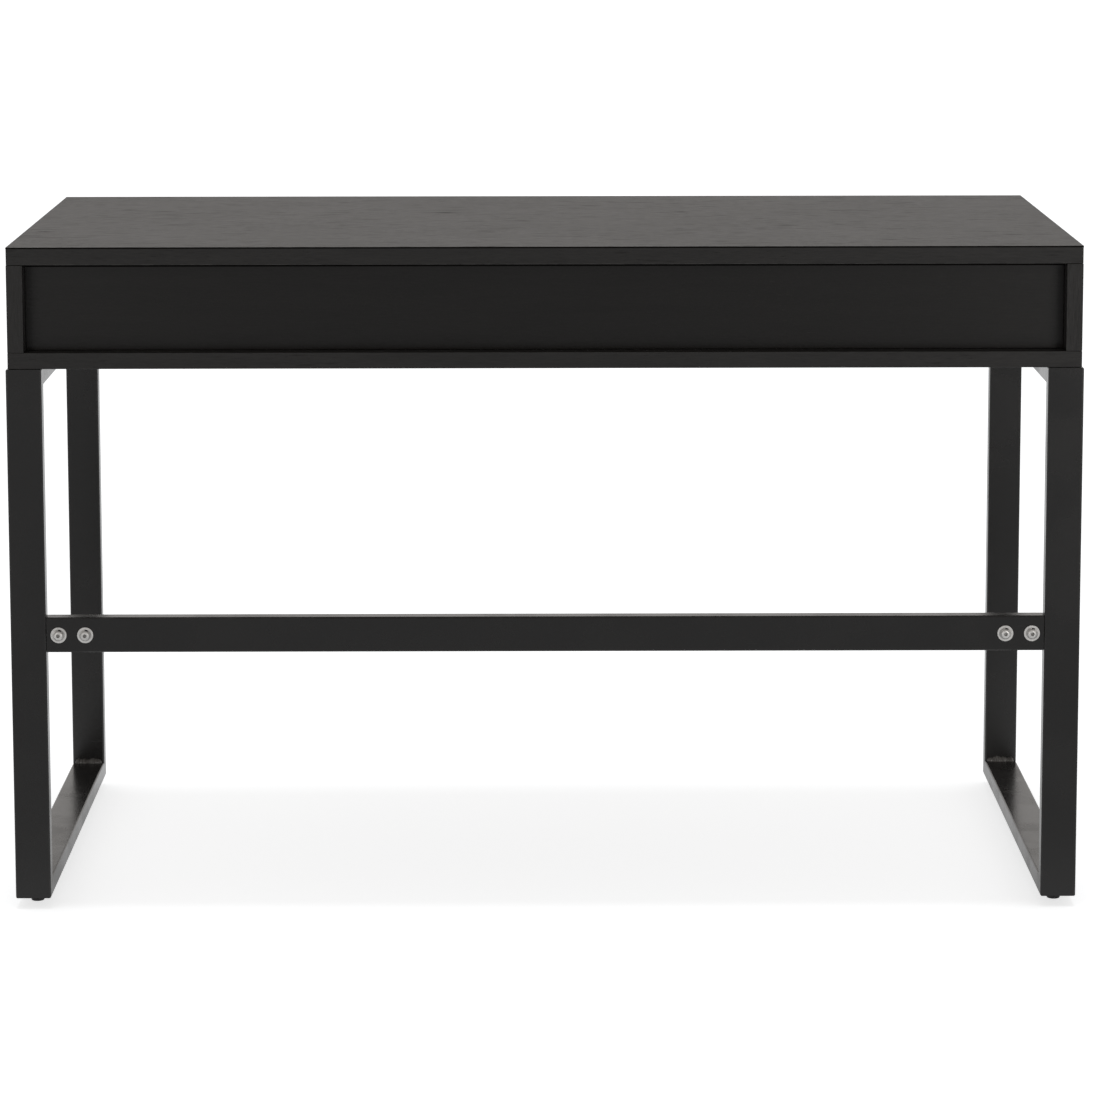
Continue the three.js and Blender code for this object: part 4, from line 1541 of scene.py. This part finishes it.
@dataclass
class Studio:
    """A plain pale floor, an open soft sky and the camera."""

    floor_half: float = 40.0
    camera_place: tuple[float, float, float] = (-0.0093, -4.8105, 1.2378)
    pitch: float = 0.14025  # how far the camera looks down, in radians
    yaw: float = 0.00329  # how far it looks to the right
    roll: float = -0.00143  # how far it leans
    focal_share: float = 3.70824  # focal length over the frame's width
    shift: float = -0.15
    sensor: float = 36.0
    warm: Colour = (1.0, 0.965, 0.935)  # colour of the light
    floor_colour: Colour = (0.74, 0.765, 0.79)  # evens out the light's warmth
    floor_glow: float = 0.7  # light that the floor adds where the camera sees it
    floor_bounce: float = 0.5  # light that the floor beyond the desk's back adds to the desk
    bounce_from: float = -0.9
    bounce_to: float = 0.2
    sky_back: float = 0.2
    sky_front: float = 0.81
    sky_top: float = 0.4
    lamp_place: tuple[float, float, float] = (2.0, -3.2, 1.1)  # of the right lamp; the left one mirrors it
    lamp_size: tuple[float, float] = (1.3, 1.9)
    lamp_power: float = 11.5
    right_share: float = 1.75  # the right lamp's power over the left one's
    down_light: float = 0.6
    down_spread: float = math.radians(12)

    def build(self) -> None:
        """Makes the floor, the sky, the lights and the camera."""
        floor = self.floor()
        self.sky()
        for side in Side:
            self.side_lamp(side, floor)
        self.down_lamp(floor)
        self.camera()

    def floor(self) -> bpy.types.Object:
        """Makes the floor, which is clear from below.

        Its own glow evens it out where it is seen, and lights the desk from beyond its back.

        Returns:
            The floor.
        """
        bm = bmesh.new()
        bmesh.ops.create_grid(bm, x_segments=1, y_segments=1, size=self.floor_half)
        mesh = bpy.data.meshes.new("studio_floor")
        bm.to_mesh(mesh)
        bm.free()
        floor = bpy.data.objects.new("studio_floor", mesh)
        bpy.context.scene.collection.objects.link(floor)
        material = bpy.data.materials.new("studio_floor")
        material.use_nodes = True
        g = Graph(material.node_tree)
        shader = material.node_tree.nodes["Principled BSDF"]
        shader.inputs["Base Color"].default_value = opaque(self.floor_colour)
        shader.inputs["Roughness"].default_value = 0.95
        shader.inputs["Specular IOR Level"].default_value = 0.0
        shader.inputs["Emission Color"].default_value = (1.0, 1.0, 1.0, 1.0)
        where = g.add("ShaderNodeTexCoord").outputs["Object"]
        along = g.add("ShaderNodeSeparateXYZ", {0: where}).outputs["Y"]
        bounce = g.remap(along, self.bounce_from, self.bounce_to, 0.0, self.floor_bounce)
        seen = g.add("ShaderNodeLightPath").outputs["Is Camera Ray"]
        glow = g.math("ADD", g.math("MULTIPLY", seen, self.floor_glow),
                      g.math("MULTIPLY", g.math("SUBTRACT", 1.0, seen), bounce))
        g.tree.links.new(glow, shader.inputs["Emission Strength"])
        below = g.add("ShaderNodeNewGeometry").outputs["Backfacing"]
        clear = g.add("ShaderNodeBsdfTransparent")
        one_sided = g.add("ShaderNodeMixShader", {0: below, 1: shader.outputs[0], 2: clear.outputs[0]})
        g.tree.links.new(one_sided.outputs[0], material.node_tree.nodes["Material Output"].inputs["Surface"])
        mesh.materials.append(material)
        return floor

    def side_lamp(self, side: Side, floor: bpy.types.Object) -> None:
        """Makes a broad soft lamp beside the desk's back, which leaves the floor alone.

        Args:
            side: the desk's side that it stands on.
            floor: the floor.
        """
        data = bpy.data.lights.new(f"{side.label}_lamp", "AREA")
        data.shape = "RECTANGLE"
        data.size, data.size_y = self.lamp_size
        data.energy = self.lamp_power * (self.right_share if side is Side.RIGHT else 1.0)
        data.color = self.warm
        lamp = bpy.data.objects.new(f"{side.label}_lamp", data)
        across, back, up = self.lamp_place
        spot = Vector((side.value * across, back, up))
        turn = (Vector((0, 0, 0.5)) - spot).to_track_quat("-Z", "Y")
        lamp.matrix_world = Matrix.Translation(spot) @ turn.to_matrix().to_4x4()
        lamp.visible_camera = False
        bpy.context.scene.collection.objects.link(lamp)
        self.link_light(lamp, floor, "EXCLUDE")

    def down_lamp(self, floor: bpy.types.Object) -> None:
        """Makes a light straight down on the floor alone, so that the desk leaves a soft patch below it.

        Args:
            floor: the floor.
        """
        data = bpy.data.lights.new("down_lamp", "SUN")
        data.energy = self.down_light
        data.angle = self.down_spread
        lamp = bpy.data.objects.new("down_lamp", data)
        lamp.matrix_world = Matrix.Translation((0, 0, 3))
        bpy.context.scene.collection.objects.link(lamp)
        self.link_light(lamp, floor, "INCLUDE")

    @staticmethod
    def link_light(lamp: bpy.types.Object, floor: bpy.types.Object, state: str) -> None:
        """Keeps a lamp's light off the floor, or on the floor alone.

        Args:
            lamp: the lamp.
            floor: the floor.
            state: EXCLUDE to leave the floor out, INCLUDE for the floor alone.
        """
        reach = bpy.data.collections.new(f"{lamp.name}_reach")
        reach.objects.link(floor)
        reach.collection_objects[0].light_linking.link_state = state
        lamp.light_linking.receiver_collection = reach

    def sky(self) -> None:
        """Makes the sky: brightest near the horizon beyond the desk, and white where it is seen directly."""
        scene = bpy.context.scene
        scene.world = bpy.data.worlds.new("studio_sky")
        scene.world.use_nodes = True
        g = Graph(scene.world.node_tree)
        where = g.add("ShaderNodeTexCoord").outputs["Generated"]
        along = g.add("ShaderNodeSeparateXYZ", {0: where}).outputs
        level = g.remap(along["Y"], -1.0, 1.0, self.sky_back, self.sky_front)
        high = g.remap(along["Z"], 0.15, 0.9)
        lit = g.math("ADD", g.math("MULTIPLY", level, g.math("SUBTRACT", 1.0, high)),
                     g.math("MULTIPLY", high, self.sky_top))
        seen = g.add("ShaderNodeLightPath").outputs["Is Camera Ray"]
        strength = g.math("ADD", g.math("MULTIPLY", seen, 1.0),
                          g.math("MULTIPLY", g.math("SUBTRACT", 1.0, seen), lit))
        g.tree.links.new(strength, scene.world.node_tree.nodes["Background"].inputs["Strength"])
        tint = g.blend(seen, self.warm, (1.0, 1.0, 1.0))
        g.tree.links.new(tint, scene.world.node_tree.nodes["Background"].inputs["Color"])
        scene.view_settings.view_transform = "Standard"

    def camera(self) -> None:
        """Makes the camera, a little above the desk and square to its back."""
        data = bpy.data.cameras.new("camera")
        data.sensor_width = self.sensor
        data.lens = self.sensor * self.focal_share
        data.shift_y = self.shift
        data.clip_end = 200.0
        level = math.cos(self.pitch)
        ahead = Vector((math.sin(self.yaw) * level, math.cos(self.yaw) * level, -math.sin(self.pitch)))
        right = Vector((math.cos(self.yaw), -math.sin(self.yaw), 0.0))
        up = right.cross(ahead)
        lean_right = right * math.cos(self.roll) + up * math.sin(self.roll)
        lean_up = up * math.cos(self.roll) - right * math.sin(self.roll)
        turn = Matrix((lean_right, lean_up, -ahead)).transposed()
        camera = bpy.data.objects.new("camera", data)
        camera.matrix_world = Matrix.Translation(self.camera_place) @ turn.to_4x4()
        bpy.context.scene.collection.objects.link(camera)
        bpy.context.scene.camera = camera


def main() -> None:
    """Builds the desk's sub-assemblies in order."""
    logging.basicConfig(level=logging.INFO, format="%(name)s: %(message)s")
    Studio().build()
    finishes = Finishes.make()
    CaseBoards(finishes).build()
    for side in Side:
        SideFrame(finishes, side).build()
    Stretcher(finishes).build()
    FrameBolts(finishes).build()
    for side in Side:
        for place in Place:
            LevellingFoot(finishes, side, place).build()
        Drawer(finishes, side).build()
        for place in Side:
            SlideSet(finishes, side, place).build()


if __name__ == "__main__":
    main()
